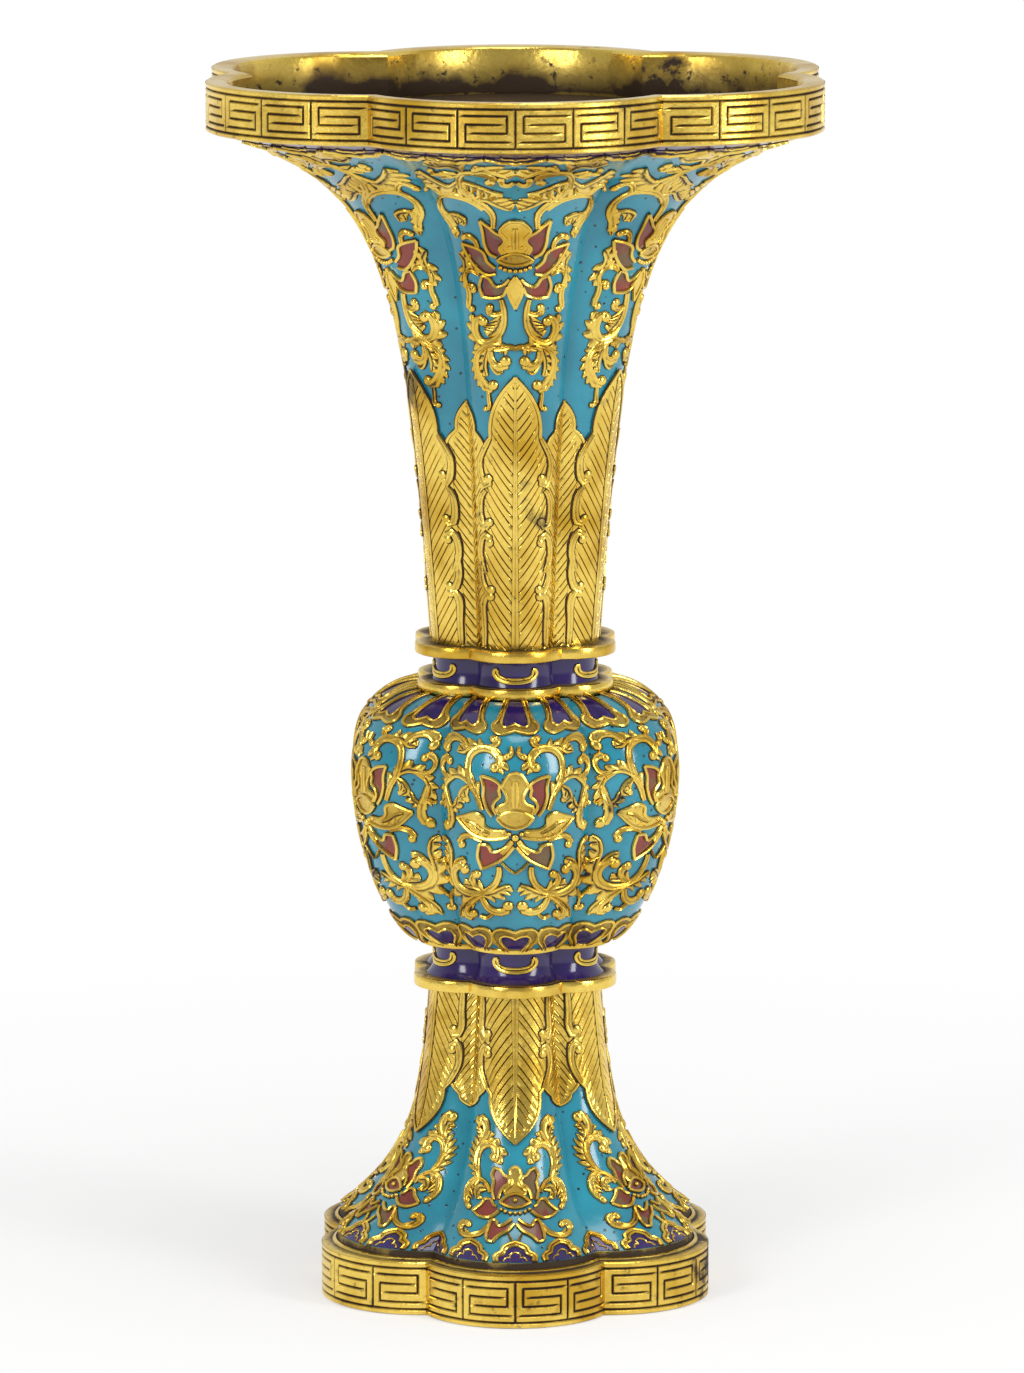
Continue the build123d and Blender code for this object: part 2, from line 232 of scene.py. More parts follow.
# %% [markdown]
# ## One lobe as a sheet of paper
# Every section of the vase is six equal arcs. The chaser works on one lobe at a time, and so does
# this script: the ornament is drawn flat, in millimetres across the lobe and along its outline,
# and this class bends it onto the lobe. Points set in space could stray from the curved wall.

# %% Lobe faces
MM = 0.001
LOBES = 6
LOBE_TURN = 360 / LOBES
HALF_TURN = radians(LOBE_TURN / 2)
BODY_SHARE = 0.525  # where a lobe's own centre lies on the way to its crest
SLOPE_STEP = 0.3


def lobe_half_angle(share):
    """Angle of a lobe's own arc from its crest to the groove."""
    return HALF_TURN + np.arcsin(share / (1 - share) * sin(HALF_TURN))


class LobeFace:
    """The front lobe of a body, from an outline of reach, height and lobe centre share."""

    def __init__(self, reach, height, share):
        self.reach, self.height = np.asarray(reach, float), np.asarray(height, float)
        self.share = np.broadcast_to(np.asarray(share, float), self.reach.shape)
        steps = np.hypot(np.diff(self.reach), np.diff(self.height))
        self.run = np.concatenate([[0], np.cumsum(steps)])

    def along(self, height):
        """Way along the outline at a height."""
        order = 1 if self.height[-1] > self.height[0] else -1
        return np.interp(height, self.height[::order], self.run[::order])

    def half_width(self, run):
        """Way across the lobe from its crest to the groove."""
        share = np.interp(run, self.run, self.share)
        return np.interp(run, self.run, self.reach) * (1 - share) * lobe_half_angle(share)

    def at(self, across, run, lift=0):
        """Points in space, lifted along the normal."""
        across, run, lift = np.broadcast_arrays(np.asarray(across, float), run, lift)
        share = np.interp(run, self.run, self.share)
        reach = np.interp(run, self.run, self.reach)
        radius = reach * (1 - share)
        turn = np.clip(across / radius, -lobe_half_angle(share), lobe_half_angle(share))
        before, after = run - SLOPE_STEP, run + SLOPE_STEP
        rise = np.interp(after, self.run, self.height) - np.interp(before, self.run, self.height)
        grow = np.interp(after, self.run, self.reach) - np.interp(before, self.run, self.reach)
        slope = np.hypot(rise, grow)
        out = lift * rise / slope
        height = np.interp(run, self.run, self.height) - lift * grow / slope
        side = (radius + out) * np.sin(turn)
        front = -(reach * share + (radius + out) * np.cos(turn))
        return np.stack([side, front, height], -1)


print("a lobe's own arc turns", 2 * np.degrees(lobe_half_angle(BODY_SHARE)), "degrees")

# %% [markdown]
# ## Three outlines
# The neck is a trumpet, the bulb a swelling and the foot a bell. An outline could be a list of
# points taken off the object, but a formula stays smooth however finely it is divided. Where it
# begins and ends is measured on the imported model.

# %% Levels of the castings
def node_sizes(node):
    """Reach, bottom and top of a CAD node, in millimetres."""
    low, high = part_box(node)
    return [round(value / MM, 1) for value in (high[1], low[2], high[2])]


FOOT_BOTTOM, FOOT_TOP = node_sizes("hem_enamel")[1], node_sizes("foot_flange")[1]
FOOT_HEIGHT = round(FOOT_TOP - node_sizes("foot_band")[2], 1)
_, BULB_BOTTOM, BULB_TOP = node_sizes("bulb_casting")
BULB_BELLY = 130
NECK_BOTTOM, NECK_TOP = node_sizes("neck_flange")[2], node_sizes("mouth_band")[1]
NECK_HEIGHT = round(NECK_TOP - NECK_BOTTOM, 1)
print("levels", FOOT_BOTTOM, FOOT_TOP, BULB_BOTTOM, BULB_TOP, NECK_BOTTOM, NECK_TOP)

# %% Outlines of neck, bulb and foot
def neck_outline(count=160):
    """Waist, taper, swell and bell of the neck; its lobes grow shallower towards the mouth."""
    height = np.linspace(NECK_BOTTOM, NECK_TOP, count)
    rise = (height - NECK_BOTTOM) / NECK_HEIGHT
    reach = 21.2 + 10.3 * rise + 21.3 * rise**4 + 23.5 * rise**14
    return LobeFace(reach, height, BODY_SHARE - 0.035 * rise**8)


def foot_outline(count=160):
    """Waist, taper and flare of the foot, down to its hem."""
    height = np.linspace(FOOT_BOTTOM, FOOT_TOP, count)
    fall = (FOOT_TOP - height) / FOOT_HEIGHT
    return LobeFace(21.7 + 5.8 * fall + 22.5 * fall**4, height, BODY_SHARE)


def bulb_outline(count=60):
    """The bulb from its floor to its shoulder: one curve below the belly and one above it."""
    low, high = np.linspace(pi / 2, 0, count), np.linspace(0, pi / 2, count)[1:]
    reach = [26.5 + 15.8 * np.cos(low) ** 1.37, 25.7 + 16.6 * np.cos(high) ** 1.29]
    height = [BULB_BELLY - 41.2 * np.sin(low) ** 1.143, BULB_BELLY + 19.7 * np.sin(high) ** 0.727]
    return LobeFace(np.concatenate(reach), np.concatenate(height), BODY_SHARE)


neck, bulb, foot = neck_outline(), bulb_outline(), foot_outline()
print("outline lengths", neck.run[-1], bulb.run[-1], foot.run[-1])

# %% [markdown]
# ## Bodies of six lobes
# A caster would carve the lobes in wax. Here a body starts as a plain turned shape, as on a
# lathe, and a geometry tree presses it: it folds each vertex's bearing into one lobe and moves
# the vertex in or out to the arc. One tree serves every body, whatever its outline. A second
# tree repeats one lobe's ornament round the axis.

# %% Making and running trees
def run_tree(name, mesh, tree, settings):
    """Runs a geometry tree on a mesh and gives back a plain mesh."""
    source = bpy.data.objects.new(name, mesh)
    bpy.context.scene.collection.objects.link(source)
    modifier = source.modifiers.new("shape", "NODES")
    modifier.node_group = tree
    for item in tree.interface.items_tree:
        if item.in_out == "INPUT" and item.name in settings:
            modifier[item.identifier] = settings[item.name]
    source.update_tag()
    graph = bpy.context.evaluated_depsgraph_get()
    result = bpy.data.meshes.new_from_object(source.evaluated_get(graph))
    source.modifiers.clear()
    bpy.data.objects.remove(source)
    result.name = name
    return result


def new_tree(name, inputs):
    """Geometry tree with named inputs; gives the tree, its graph and the input values."""
    tree = bpy.data.node_groups.new(name, "GeometryNodeTree")
    tree.interface.new_socket("Geometry", in_out="INPUT", socket_type="NodeSocketGeometry")
    for label, kind in inputs:
        tree.interface.new_socket(label, in_out="INPUT", socket_type="NodeSocket" + kind)
    tree.interface.new_socket("Geometry", in_out="OUTPUT", socket_type="NodeSocketGeometry")
    graph = Graph(tree)
    entry = tree.nodes.new("NodeGroupInput")
    return tree, graph, [Value(graph, socket) for socket in entry.outputs]


def finish_tree(graph, geometry, material):
    """Ends a tree in plain geometry with its material set."""
    real = graph.node("GeometryNodeRealizeInstances", None, [geometry])
    painted = graph.node("GeometryNodeSetMaterial", None, {"Geometry": real, "Material": material})
    graph.node("NodeGroupOutput", None, [painted])

# %% The two trees
def press_tree():
    """Moves every vertex of a turned body in or out to the arc of its lobe."""
    tree, g, (geometry, lobes, material, _) = new_tree(
        "press_lobes", [("Lobes", "Float"), ("Material", "Material")])
    place = g.node("GeometryNodeInputPosition")
    x, y, z = [g.node("ShaderNodeSeparateXYZ", None, [place], k) for k in range(3)]
    reach = (x * x + y * y) ** 0.5
    share = g.node("GeometryNodeInputNamedAttribute", {"data_type": "FLOAT"}, {"Name": "share"})
    half = g.node("ShaderNodeMath", {"operation": "DIVIDE"}, [pi, lobes])
    bearing = y.maths("ARCTAN2", x) + pi / 2
    folded = bearing.maths("WRAP", half, 0 - half)
    centre = reach * share
    beside = centre * folded.maths("SINE")
    radius = reach - centre
    arc = centre * folded.maths("COSINE") + (radius * radius - beside * beside) ** 0.5
    scale = arc / reach.maths("MAXIMUM", 1e-6)
    moved = g.node("ShaderNodeCombineXYZ", None, [x * scale, y * scale, z])
    pressed = g.node("GeometryNodeSetPosition", None, {"Geometry": geometry, "Position": moved})
    finish_tree(g, pressed, material)
    return tree


def ring_tree():
    """Repeats one lobe's ornament round the axis."""
    tree, g, (geometry, count, material, _) = new_tree(
        "ring_of", [("Count", "Int"), ("Material", "Material")])
    points = g.node("GeometryNodeMeshLine", None, {"Count": count, "Offset": (0, 0, 0)})
    turn = g.node("GeometryNodeInputIndex") * (2 * pi) / count
    bearing = g.node("ShaderNodeCombineXYZ", None, {"Z": turn})
    copies = g.node("GeometryNodeInstanceOnPoints", None, {
        "Points": points, "Instance": geometry,
        "Rotation": g.node("FunctionNodeEulerToRotation", None, [bearing])})
    finish_tree(g, copies, material)
    return tree


press_lobes, ring_of = press_tree(), ring_tree()
print("trees", press_lobes.name, ring_of.name)

# %% [markdown]
# ## From numbers to meshes
# A plot gathers corners, faces and numbers for grime and painted shade, scales them to metres and
# makes one mesh. The relief could be a displaced surface, but drawn corners give clean edges with
# fewer faces. Edges that turn sharply are marked, so that smooth shading keeps them crisp.

# %% Plots
class Plot:
    """Corners, faces and grime-and-shade numbers that become one mesh."""

    def __init__(self):
        self.corners, self.faces, self.patina, self.count = [], [], [], 0

    def add(self, corners, faces, patina=0.0):
        """Corners and faces between them, with one grime-and-shade number or one per corner."""
        corners = np.asarray(corners, float).reshape(-1, 3)
        self.corners.append(corners)
        self.faces.extend([[i + self.count for i in face] for face in faces])
        self.patina.append(np.broadcast_to(np.asarray(patina, float).ravel(), len(corners)))
        self.count += len(corners)

    def add_grid(self, corners, patina=0.0, round_rows=False, round_columns=False, ends=False):
        """Rows and columns of corners, joined round where asked; ends closes a tube of rows."""
        rows, columns = corners.shape[:2]
        faces = []
        for i in range(rows if round_rows else rows - 1):
            for j in range(columns if round_columns else columns - 1):
                a, b = i * columns, (i + 1) % rows * columns
                k = (j + 1) % columns
                faces.append([a + j, a + k, b + k, b + j])
        if ends:
            faces.append(list(range(columns))[::-1])
            faces.append([(rows - 1) * columns + j for j in range(columns)])
        self.add(corners, faces, patina)

    def mesh(self, name, share=None):
        """The mesh in metres, with the lobe centre share of each corner where it is needed."""
        mesh = bpy.data.meshes.new(name)
        corners = np.concatenate(self.corners) * MM
        mesh.from_pydata(corners.tolist(), [], self.faces)
        patina = mesh.attributes.new("patina", "FLOAT", "POINT")
        patina.data.foreach_set("value", np.concatenate(self.patina).astype(np.float32))
        if share is not None:
            centre = mesh.attributes.new("share", "FLOAT", "POINT")
            centre.data.foreach_set("value", np.asarray(share, np.float32))
        return mesh

# %% Pieces
def finish_piece(name, mesh, material, nodes, sharp=35):
    """Makes the object, shades it, and fits it to the frame."""
    mesh.name = name
    mesh.materials.clear()
    mesh.materials.append(material)
    mesh.shade_smooth()
    mesh.set_sharp_from_angle(angle=radians(sharp))
    piece = bpy.data.objects.new(name, mesh)
    bpy.context.scene.collection.objects.link(piece)
    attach(piece, "root")
    if nodes:
        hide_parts(*nodes)
    mesh.calc_loop_triangles()
    print(name, len(mesh.loop_triangles), "triangles")


CORNERS_PER_LOBE = 28


def lathe(rows):
    """Turned body from a closed outline of (reach, height, share, grime-and-shade), outside up."""
    rows = np.asarray(rows, float)
    arc = np.linspace(-1, 1, CORNERS_PER_LOBE + 1)[:-1] * lobe_half_angle(BODY_SHARE)
    radius = 1 - BODY_SHARE
    front = np.arctan2(radius * np.sin(arc), BODY_SHARE + radius * np.cos(arc))
    bearing = np.concatenate([front + radians(LOBE_TURN * k - 90) for k in range(LOBES)])
    corners = np.stack([np.outer(rows[:, 0], np.cos(bearing)),
                        np.outer(rows[:, 0], np.sin(bearing)),
                        np.outer(rows[:, 1], np.ones_like(bearing))], -1)
    plot = Plot()
    plot.add_grid(corners, np.repeat(rows[:, 3], len(bearing)), round_rows=True,
                  round_columns=True)
    return plot.mesh("turned", np.repeat(rows[:, 2], len(bearing)))


def lobed_body(name, rows, material, nodes):
    """A body of six lobes, finished as a piece."""
    settings = {"Lobes": float(LOBES), "Material": material}
    finish_piece(name, run_tree(name, lathe(rows), press_lobes, settings), material, nodes)


def ring_piece(name, plot, material, nodes, sharp=50):
    """One lobe's plot, repeated round the axis and finished as a piece."""
    mesh = run_tree(name, plot.mesh(name), ring_of, {"Count": LOBES, "Material": material})
    finish_piece(name, mesh, material, nodes, sharp)

# %% [markdown]
# ## Flanges
# Four lobed plates part the castings, each cast flat and filed at the edge. Only the outline of
# half a plate is written down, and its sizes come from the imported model. The faces are browned
# and the edge is bright, as handling leaves them.

# %% Outline of a plate
BORE = 15.0


def at_body_share(rows):
    """Rows of (reach, height, grime and shade) with the share that nearly all bodies have."""
    return [(reach, height, BODY_SHARE, patina) for reach, height, patina in rows]


def plate_rows(reach, bottom, top, ease=0.5, worn=0.75):
    """Closed outline of a flange: bright edge, worn faces, eased corners."""
    mid = ease * 0.3
    return at_body_share([
        (BORE, bottom, worn), (reach - 2.2, bottom, worn), (reach - ease, bottom, 0.1),
        (reach - mid, bottom + mid, 0), (reach, bottom + ease, 0), (reach, top - ease, 0),
        (reach - mid, top - mid, 0), (reach - ease, top, 0.1), (reach - 1.6, top, worn * 0.6),
        (reach - 3.4, top, worn), (BORE, top, worn)])

# %% Flanges
for name in ("neck_flange", "shoulder_flange", "bulb_flange", "foot_flange"):
    lobed_body("gilt_" + name, plate_rows(*node_sizes(name)), gilt, [name])

# %% [markdown]
# ## Collars
# Two waisted rings of purple enamel sit between the flanges. A curve that is steep at both ends
# and flat in the middle gives the waist in one line.

# %% Collars
COLLAR_WAIST, COLLAR_TOP_REACH = 21.0, 21.8


def collar_face(node, count=12):
    """Face of a waisted ring: wider at both ends by a smooth curve."""
    reach_below, bottom, top = node_sizes(node)
    t = np.linspace(0, 1, count)
    reach = (COLLAR_WAIST + (reach_below - COLLAR_WAIST) * (1 - t) ** 4
             + (COLLAR_TOP_REACH - COLLAR_WAIST) * t**4)
    return LobeFace(reach, bottom + (top - bottom) * t, BODY_SHARE)


collars = {name: collar_face(name + "_collar_enamel") for name in ("upper", "lower")}
for name, face in collars.items():
    levels = [(BORE, face.height[0]), *zip(face.reach, face.height), (BORE, face.height[-1])]
    lobed_body(name + "_collar_purple", at_body_share([(*level, 0) for level in levels]), purple,
               [name + "_collar", name + "_collar_enamel"])

# %% [markdown]
# ## Castings and the turquoise ground
# The neck, bulb and foot are hollow castings. Enamel fills their fields flush with the metal. The
# cells could be cut out of each casting, but then every thin wall would need its own faces. So
# each casting is drawn a little inside its enamel, and the carved work stands on both.

# %% Castings and ground
ENAMEL_DEPTH = 0.65
CASTING_SINK, CASTING_WALL = 0.7, 2.6


def skin_rows(face, low, high, lifts, worn, count):
    """Closed outline between two heights: up the outer side, down the inner one."""
    run = np.linspace(face.along(low), face.along(high), count)
    rows = []
    for side, lift, patina in zip((run, run[::-1]), lifts, worn):
        places, share = face.at(0, side, lift), np.interp(side, face.run, face.share)
        rows += [(-place[1], place[2], s, patina) for place, s in zip(places, share)]
    return rows


def enamel_body(name, face, low, high, material, nodes, count):
    """Enamel skin that fills the face between two heights."""
    rows = skin_rows(face, low, high, (0.0, -ENAMEL_DEPTH), (0.0, 0.0), count)
    lobed_body(name, rows, material, nodes)


def casting(name, face, low, high, worn_inside):
    """Casting whose outer side lies a little below the enamel's face, cut level at its ends."""
    rows = skin_rows(face, low, high, (-CASTING_SINK, -CASTING_WALL), (0.35, worn_inside), 48)
    rows = [(reach, min(max(height, low), high), *rest) for reach, height, *rest in rows]
    lobed_body(name + "_gilt_casting", rows, gilt, [name + "_casting"])


def turquoise_ground(name, face, low, high, count):
    enamel_body(name + "_turquoise_ground", face, low, high, turquoise, [name + "_enamel"],
                count)


casting("neck", neck, NECK_BOTTOM, NECK_TOP, 0.88)
enamel_body("neck_purple_border", neck, 286.0, NECK_TOP, purple, [], 8)
turquoise_ground("neck", neck, 209.0, 286.0, 64)
casting("bulb", bulb, BULB_BOTTOM, BULB_TOP, 0.95)
turquoise_ground("bulb", bulb, 88.85, 149.65, 90)
casting("foot", foot, FOOT_BOTTOM, FOOT_TOP, 0.95)
turquoise_ground("foot", foot, 15.45, 56.0, 64)

# %% [markdown]
# ## Bands with a key fret
# The fret is chased into the band as fine V grooves. They could be bump alone, but real grooves
# catch the light and the grime. All the lines run level or upright, so the band's face is a grid
# with three grid lines for every groove, and only the middle line is sunk.

# %% Lines of the fret
FRET_LEVELS = (0.17, 0.39, 0.61, 0.83)
GROOVE_DEPTH, GROOVE_HALF_WIDTH = 0.5, 0.42
FACE_WEAR = 0.14
NEAR = 1e-3


def fret_unit(width, height):
    """Two hooks that lock into one another, as corners of their grooves."""
    edge, hook = width / 7, width / 3.6
    first, second, third, fourth = (share * height for share in FRET_LEVELS)
    upper = [(0.5 * edge, fourth), (width - edge, fourth), (width - edge, second), (hook, second)]
    lower = [(width - hook, third), (edge, third), (edge, first), (width - 0.5 * edge, first)]
    return upper, lower


def fret_grooves(width, units, low, high):
    """All groove segments of one lobe: locked hooks, dividers and border lines."""
    unit = width / units
    segments = [((0, z), (width, z)) for z in (low, high)]
    for k in range(1, units):
        segments.append(((unit * k, low), (unit * k, high)))
    for k in range(units):
        for points in fret_unit(unit, high - low):
            if (k + units // 2) % 2 == 0:
                points = [(unit - x, y) for x, y in points]
            points = [(x + unit * k, y + low) for x, y in points]
            segments += list(zip(points, points[1:]))
    return segments

# %% The fret sunk into its band
def grid_lines(places, start, end, widest):
    """Grid lines on both sides of every groove, and between them where they lie far apart."""
    lines = {start, end}
    for place in places:
        lines |= {place - GROOVE_HALF_WIDTH, place, place + GROOVE_HALF_WIDTH}
    lines = sorted(x for x in lines if start <= x <= end)
    kept = [lines[0]]
    for x in lines[1:]:
        gap = x - kept[-1]
        if gap < 1e-4:
            continue
        parts = max(1, int(np.ceil(gap / widest)))
        kept += [kept[-1] + gap * (k + 1) / parts for k in range(parts)]
    return np.array(kept)


def fret_plot(face, low, high, units):
    """Band face of one lobe with the fret sunk into it between two heights."""
    half = float(face.half_width(0.0))
    segments = fret_grooves(2 * half, units, low, high)
    uprights = {round(a[0], 4) for a, b in segments if a[0] == b[0]}
    levels = {round(a[1], 4) for a, b in segments if a[1] == b[1]}
    xs = grid_lines(uprights, 0, 2 * half, 1.6)
    zs = grid_lines(levels, face.height[0], face.height[-1], 3.0)
    sunk = np.zeros((len(zs), len(xs)))
    for a, b in segments:
        x0, x1 = sorted((a[0], b[0]))
        z0, z1 = sorted((a[1], b[1]))
        in_height = (zs > z0 - NEAR) & (zs < z1 + NEAR)
        in_width = (xs > x0 - NEAR) & (xs < x1 + NEAR)
        sunk[np.ix_(in_height, in_width)] = 1
    across, height = np.meshgrid(xs - half, zs)
    plot = Plot()
    corners = face.at(across, face.along(height), -GROOVE_DEPTH * sunk)
    plot.add_grid(corners, np.maximum(sunk, FACE_WEAR).ravel())
    return plot


def band_piece(name, face, fret_low, fret_high, units, rows):
    """Band body behind, and the grooved face of each lobe in front."""
    fret = fret_plot(face, fret_low, fret_high, units)
    ring_piece(name + "_fret", fret, gilt, [name], sharp=25)
    lobed_body(name + "_body", rows, gilt, [])

# %% Mouth band and foot band
mouth_rows = [(73.9, 288.0, 0.5, 0.6), (76.0, 288.0, 0.49, 0.5), (78.9, 288.0, 0.49, 0.3),
              (79.4, 288.35, 0.49, 0), (78.8, 288.6, 0.49, 1), (78.8, 299.4, 0.49, 1),
              (79.4, 299.65, 0.49, 0), (79.0, 299.97, 0.49, 0), (78.0, 300.0, 0.49, 0.15),
              (75.6, 299.95, 0.50, 0.05), (74.4, 299.6, 0.505, 0), (73.9, 298.9, 0.51, 0.25),
              (73.7, 294.0, 0.51, 0.55), (73.6, 288.9, 0.51, 0.9)]
# The ledge rows where the band meets the foot's enamel are dark: painted shade of the gap there.
foot_rows = at_body_share([
    (45.7, 0.0, 0.9), (50.6, 0.0, 0.5), (51.2, 0.35, 0.1), (50.6, 0.6, 1), (50.6, 12.7, 1),
    (51.2, 12.95, 0), (50.8, 13.25, 0.25), (49.9, 13.3, 0.4), (48.6, 13.3, 0.8),
    (48.3, 13.7, 0.2), (47.6, 13.9, 0.1), (47.2, 13.5, 0.9), (47.0, 15.2, 0.7),
    (46.7, 15.45, 0.3), (45.6, 15.45, 0.9), (45.6, 12.0, 0.9)])
band_piece("mouth_band", LobeFace([79.5, 79.5], [288.35, 299.65], 0.49), 289.3, 298.5, 6,
           mouth_rows)
band_piece("foot_band", LobeFace([51.3, 51.3], [0.35, 12.95], BODY_SHARE), 1.5, 11.7, 4,
           foot_rows)

# %% [markdown]
# ## Relief strokes
# The carved work stands up from the enamel with chased edges. A bevelled curve would be round and
# alike all over, so each stroke is a ribbon with a profile of its own that follows the lobe's
# face. A stem has two bright edges and a hollow between them. An acanthus frond has a stem on one
# side and teeth with cut veins on the other. A thin dark foot of grime and painted shade runs
# round each stroke's edge.

# %% Smooth lines
def smooth(points, per_span=7):
    """Curve through the points."""
    points = np.asarray(points, float)
    ends = np.vstack([2 * points[0] - points[1], points, 2 * points[-1] - points[-2]])
    t = np.linspace(0, 1, per_span, endpoint=False)[:, None]
    spans = []
    for a, b, c, d in zip(ends, ends[1:], ends[2:], ends[3:]):
        spans.append(0.5 * (2 * b + (c - a) * t + (2 * a - 5 * b + 4 * c - d) * t**2
                            + (3 * b - a - 3 * c + d) * t**3))
    return np.vstack([*spans, points[-1]])


def even(path, count):
    """The same path at even steps."""
    steps = np.hypot(*np.diff(path, axis=0).T)
    way = np.concatenate([[0], np.cumsum(steps)])
    at = np.linspace(0, way[-1], count)
    return np.stack([np.interp(at, way, path[:, k]) for k in range(2)], -1), way[-1]

# %% Ribbons and knobs
# Each profile runs across the ribbon: place (1 is its edge), height, and grime with painted shade.
PROFILES = {"stem": [(-0.88, 0.74, 0), (-0.5, 1, 0), (0, 0.72, 0.45), (0.5, 1, 0),
                     (0.88, 0.74, 0)],
            "edge": [(-0.8, 0.8, 0), (0, 1, 0), (0.8, 0.8, 0)],
            "frond": [(-0.84, 0.78, 0), (-0.3, 1, 0), (0.1, 0.55, 0.8), (0.3, 0.86, 0.1),
                      (0.62, 0.84, 0), (0.94, 0.58, 0)]}
# The dark foot is grime and painted shade at the edge of the relief.
FOOT_LINE = 0.32  # width of the dark foot on each side
SEAT, SKIN = -0.12, 0.05  # lift of a ribbon's hidden edge and of its lowest visible one


def ribbon(plot, face, path, left, right, rise, profile, veins=None, lean=0.0, ground=0.0,
           foot=FOOT_LINE):
    """Ribbon with half widths to its left and right, closed underneath."""
    path, left, right = (np.asarray(a, float) for a in (path, left, right))
    step = np.gradient(path, axis=0)
    step /= np.maximum(np.hypot(*step.T), 1e-9)[:, None]
    side = np.stack([-step[:, 1], step[:, 0]], -1)
    inner = PROFILES[profile]
    # The two outer rows on each side are the dark foot: full grime and painted shade.
    marks = [(-1, SEAT, 1, -foot), (-1, SKIN, 1, 0), *[(k, h * rise, p, 0) for k, h, p in inner],
             (1, SKIN, 1, 0), (1, SEAT, 1, foot)]
    places, lift, patina = [], [], []
    for k, height, worn, extra in marks:
        reach = (k * (left if k > 0 else right) + extra)[:, None]
        places.append(path + side * reach + step * lean * np.maximum(reach, 0))
        cut = veins * np.clip((k - 0.1) / 0.4, 0, 1) if veins is not None else 0 * left
        lift.append(ground + height - cut * (height > SKIN) * rise * 0.7)
        patina.append(np.maximum(worn, cut * 0.9))
    places, lift, patina = np.stack(places, 1), np.stack(lift, 1), np.stack(patina, 1)
    corners = face.at(places[..., 0], places[..., 1], lift)
    plot.add_grid(corners[:, ::-1], patina[:, ::-1], round_columns=True, ends=True)


def knob(plot, face, place, radius, rise, ground=0.0):
    """Round eye at the end of a scroll."""
    turn = np.linspace(0, 2 * pi, 10, endpoint=False)
    # The two outer rings are the dark foot of grime and painted shade.
    rings = ((1 + FOOT_LINE / radius, SEAT, 1), (1.0, SKIN, 1), (0.9, rise * 0.85, 0),
             (0.55, rise * 1.2, 0), (0.1, rise * 1.25, 0))
    corners, patina = [], []
    for share, lift, worn in rings:
        across = place[0] + radius * share * np.cos(turn)
        run = place[1] + radius * share * np.sin(turn)
        corners.append(face.at(across, run, lift + ground))
        patina.append(np.full(len(turn), worn))
    plot.add_grid(np.array(corners), np.array(patina), round_columns=True, ends=True)

# %% Strokes and rims
# How the width changes from a stroke's start to its end, and over one tooth of a frond
SWELL = {"stem": ([0, 0.1, 0.8, 1], [0.75, 1, 1, 0.8]),
         "scroll": ([0, 0.1, 0.55, 0.85, 1], [0.7, 0.9, 1.05, 1.35, 1.0]),
         "frond": ([0, 0.15, 0.45, 0.8, 1], [0.45, 0.85, 1.0, 0.85, 0.3])}
TEETH = ([0, 0.70, 0.84, 1], [0.55, 1.15, 0.95, 0.55])
PLAIN_SIDE = ([0, 0.2, 0.8, 1], [0.8, 1, 1, 0.5])
BOLDNESS = {"stem": 1.1, "scroll": 1.2, "frond": 1.6}
STROKE_STEP, RIM_STEP, STEPS_PER_TOOTH = 1.1, 0.68, 6
VEIN_LEAN = 0.45


def stroke(plot, face, kind, width, points, teeth=0, rise=0.8, ground=0.0):
    """A stem, a scroll with its eye, or a frond with teeth on its left (minus: its right)."""
    width = width * BOLDNESS[kind]
    curve = smooth(points)
    steps = max(8, int(even(curve, 20)[1] / STROKE_STEP), abs(teeth) * STEPS_PER_TOOTH)
    path = even(curve, steps)[0]
    t = np.linspace(0, 1, len(path))
    left = right = width * np.interp(t, *SWELL[kind])
    if not teeth:
        ribbon(plot, face, path, left, right, rise, "stem", ground=ground)
    else:
        tooth = (t * abs(teeth)) % 1
        veins = np.exp(-((np.minimum(tooth, 1 - tooth) / 0.16) ** 2)) * (t > 0.06) * (t < 0.96)
        left = left * np.interp(tooth, *TEETH)
        right = min(0.7, 0.4 * width + 0.1) * np.interp(t, *PLAIN_SIDE)
        turn = 1 if teeth > 0 else -1
        path, left, right, veins = (a[::turn] for a in (path, left, right, veins))
        ribbon(plot, face, path, left, right, rise, "frond", veins, turn * VEIN_LEAN, ground)
    if kind == "scroll":
        knob(plot, face, curve[-1], width * 1.45, rise, ground)


def rim(plot, face, points, width=0.36, rise=0.9, ground=0.0):
    """Narrow raised edge round a petal or a lappet."""
    curve = smooth(points, 6)
    path = even(curve, max(6, int(even(curve, 20)[1] / RIM_STEP)))[0]
    half = np.full(len(path), width)
    ribbon(plot, face, path, half, half, rise, "edge", ground=ground, foot=0.16)

# %% [markdown]
# ## Petals and panels
# A lotus petal is a field with a raised rim. The fill is stretched between the petal's two edges,
# which needs no cutting and gives even faces. The chaser's pattern is the same on both sides of
# the lobe's middle line, so only its right half is drawn.

# %% Fillings
def filling(plot, face, first, second, lift=0.12, count=11, across=5, patina=0.0):
    """Fill between two edges that both run from base to tip."""
    first, second = even(smooth(first), count)[0], even(smooth(second), count)[0]
    share = np.linspace(0, 1, across)[None, :, None]
    places = first[:, None] * (1 - share) + second[:, None] * share
    corners = face.at(places[..., 0], places[..., 1], lift)
    i, j = len(corners) // 2, across // 2
    normal = np.cross(corners[i, j + 1] - corners[i, j], corners[i + 1, j] - corners[i, j])
    outward = face.at(*places[i, j], 1.0) - face.at(*places[i, j], 0.0)
    plot.add_grid(corners if np.dot(normal, outward) > 0 else corners[:, ::-1], patina)


def both_sides(points):
    """The points and their mirror image in the lobe's middle line."""
    points = np.asarray(points, float)
    return points, points * (-1, 1)

# %% One lobe's panel
# Lift and grime-and-shade number of what fills a petal
FILLS = {"red": (0.12, 0.0), "gilt": (0.5, 0.1), "worn": (0.32, 0.3)}
MIDDLE = 0.05


def on_middle(points):
    """Whether a line runs down the lobe's middle line, so that it is drawn only once."""
    return max(abs(u) for u, _ in points) <= MIDDLE


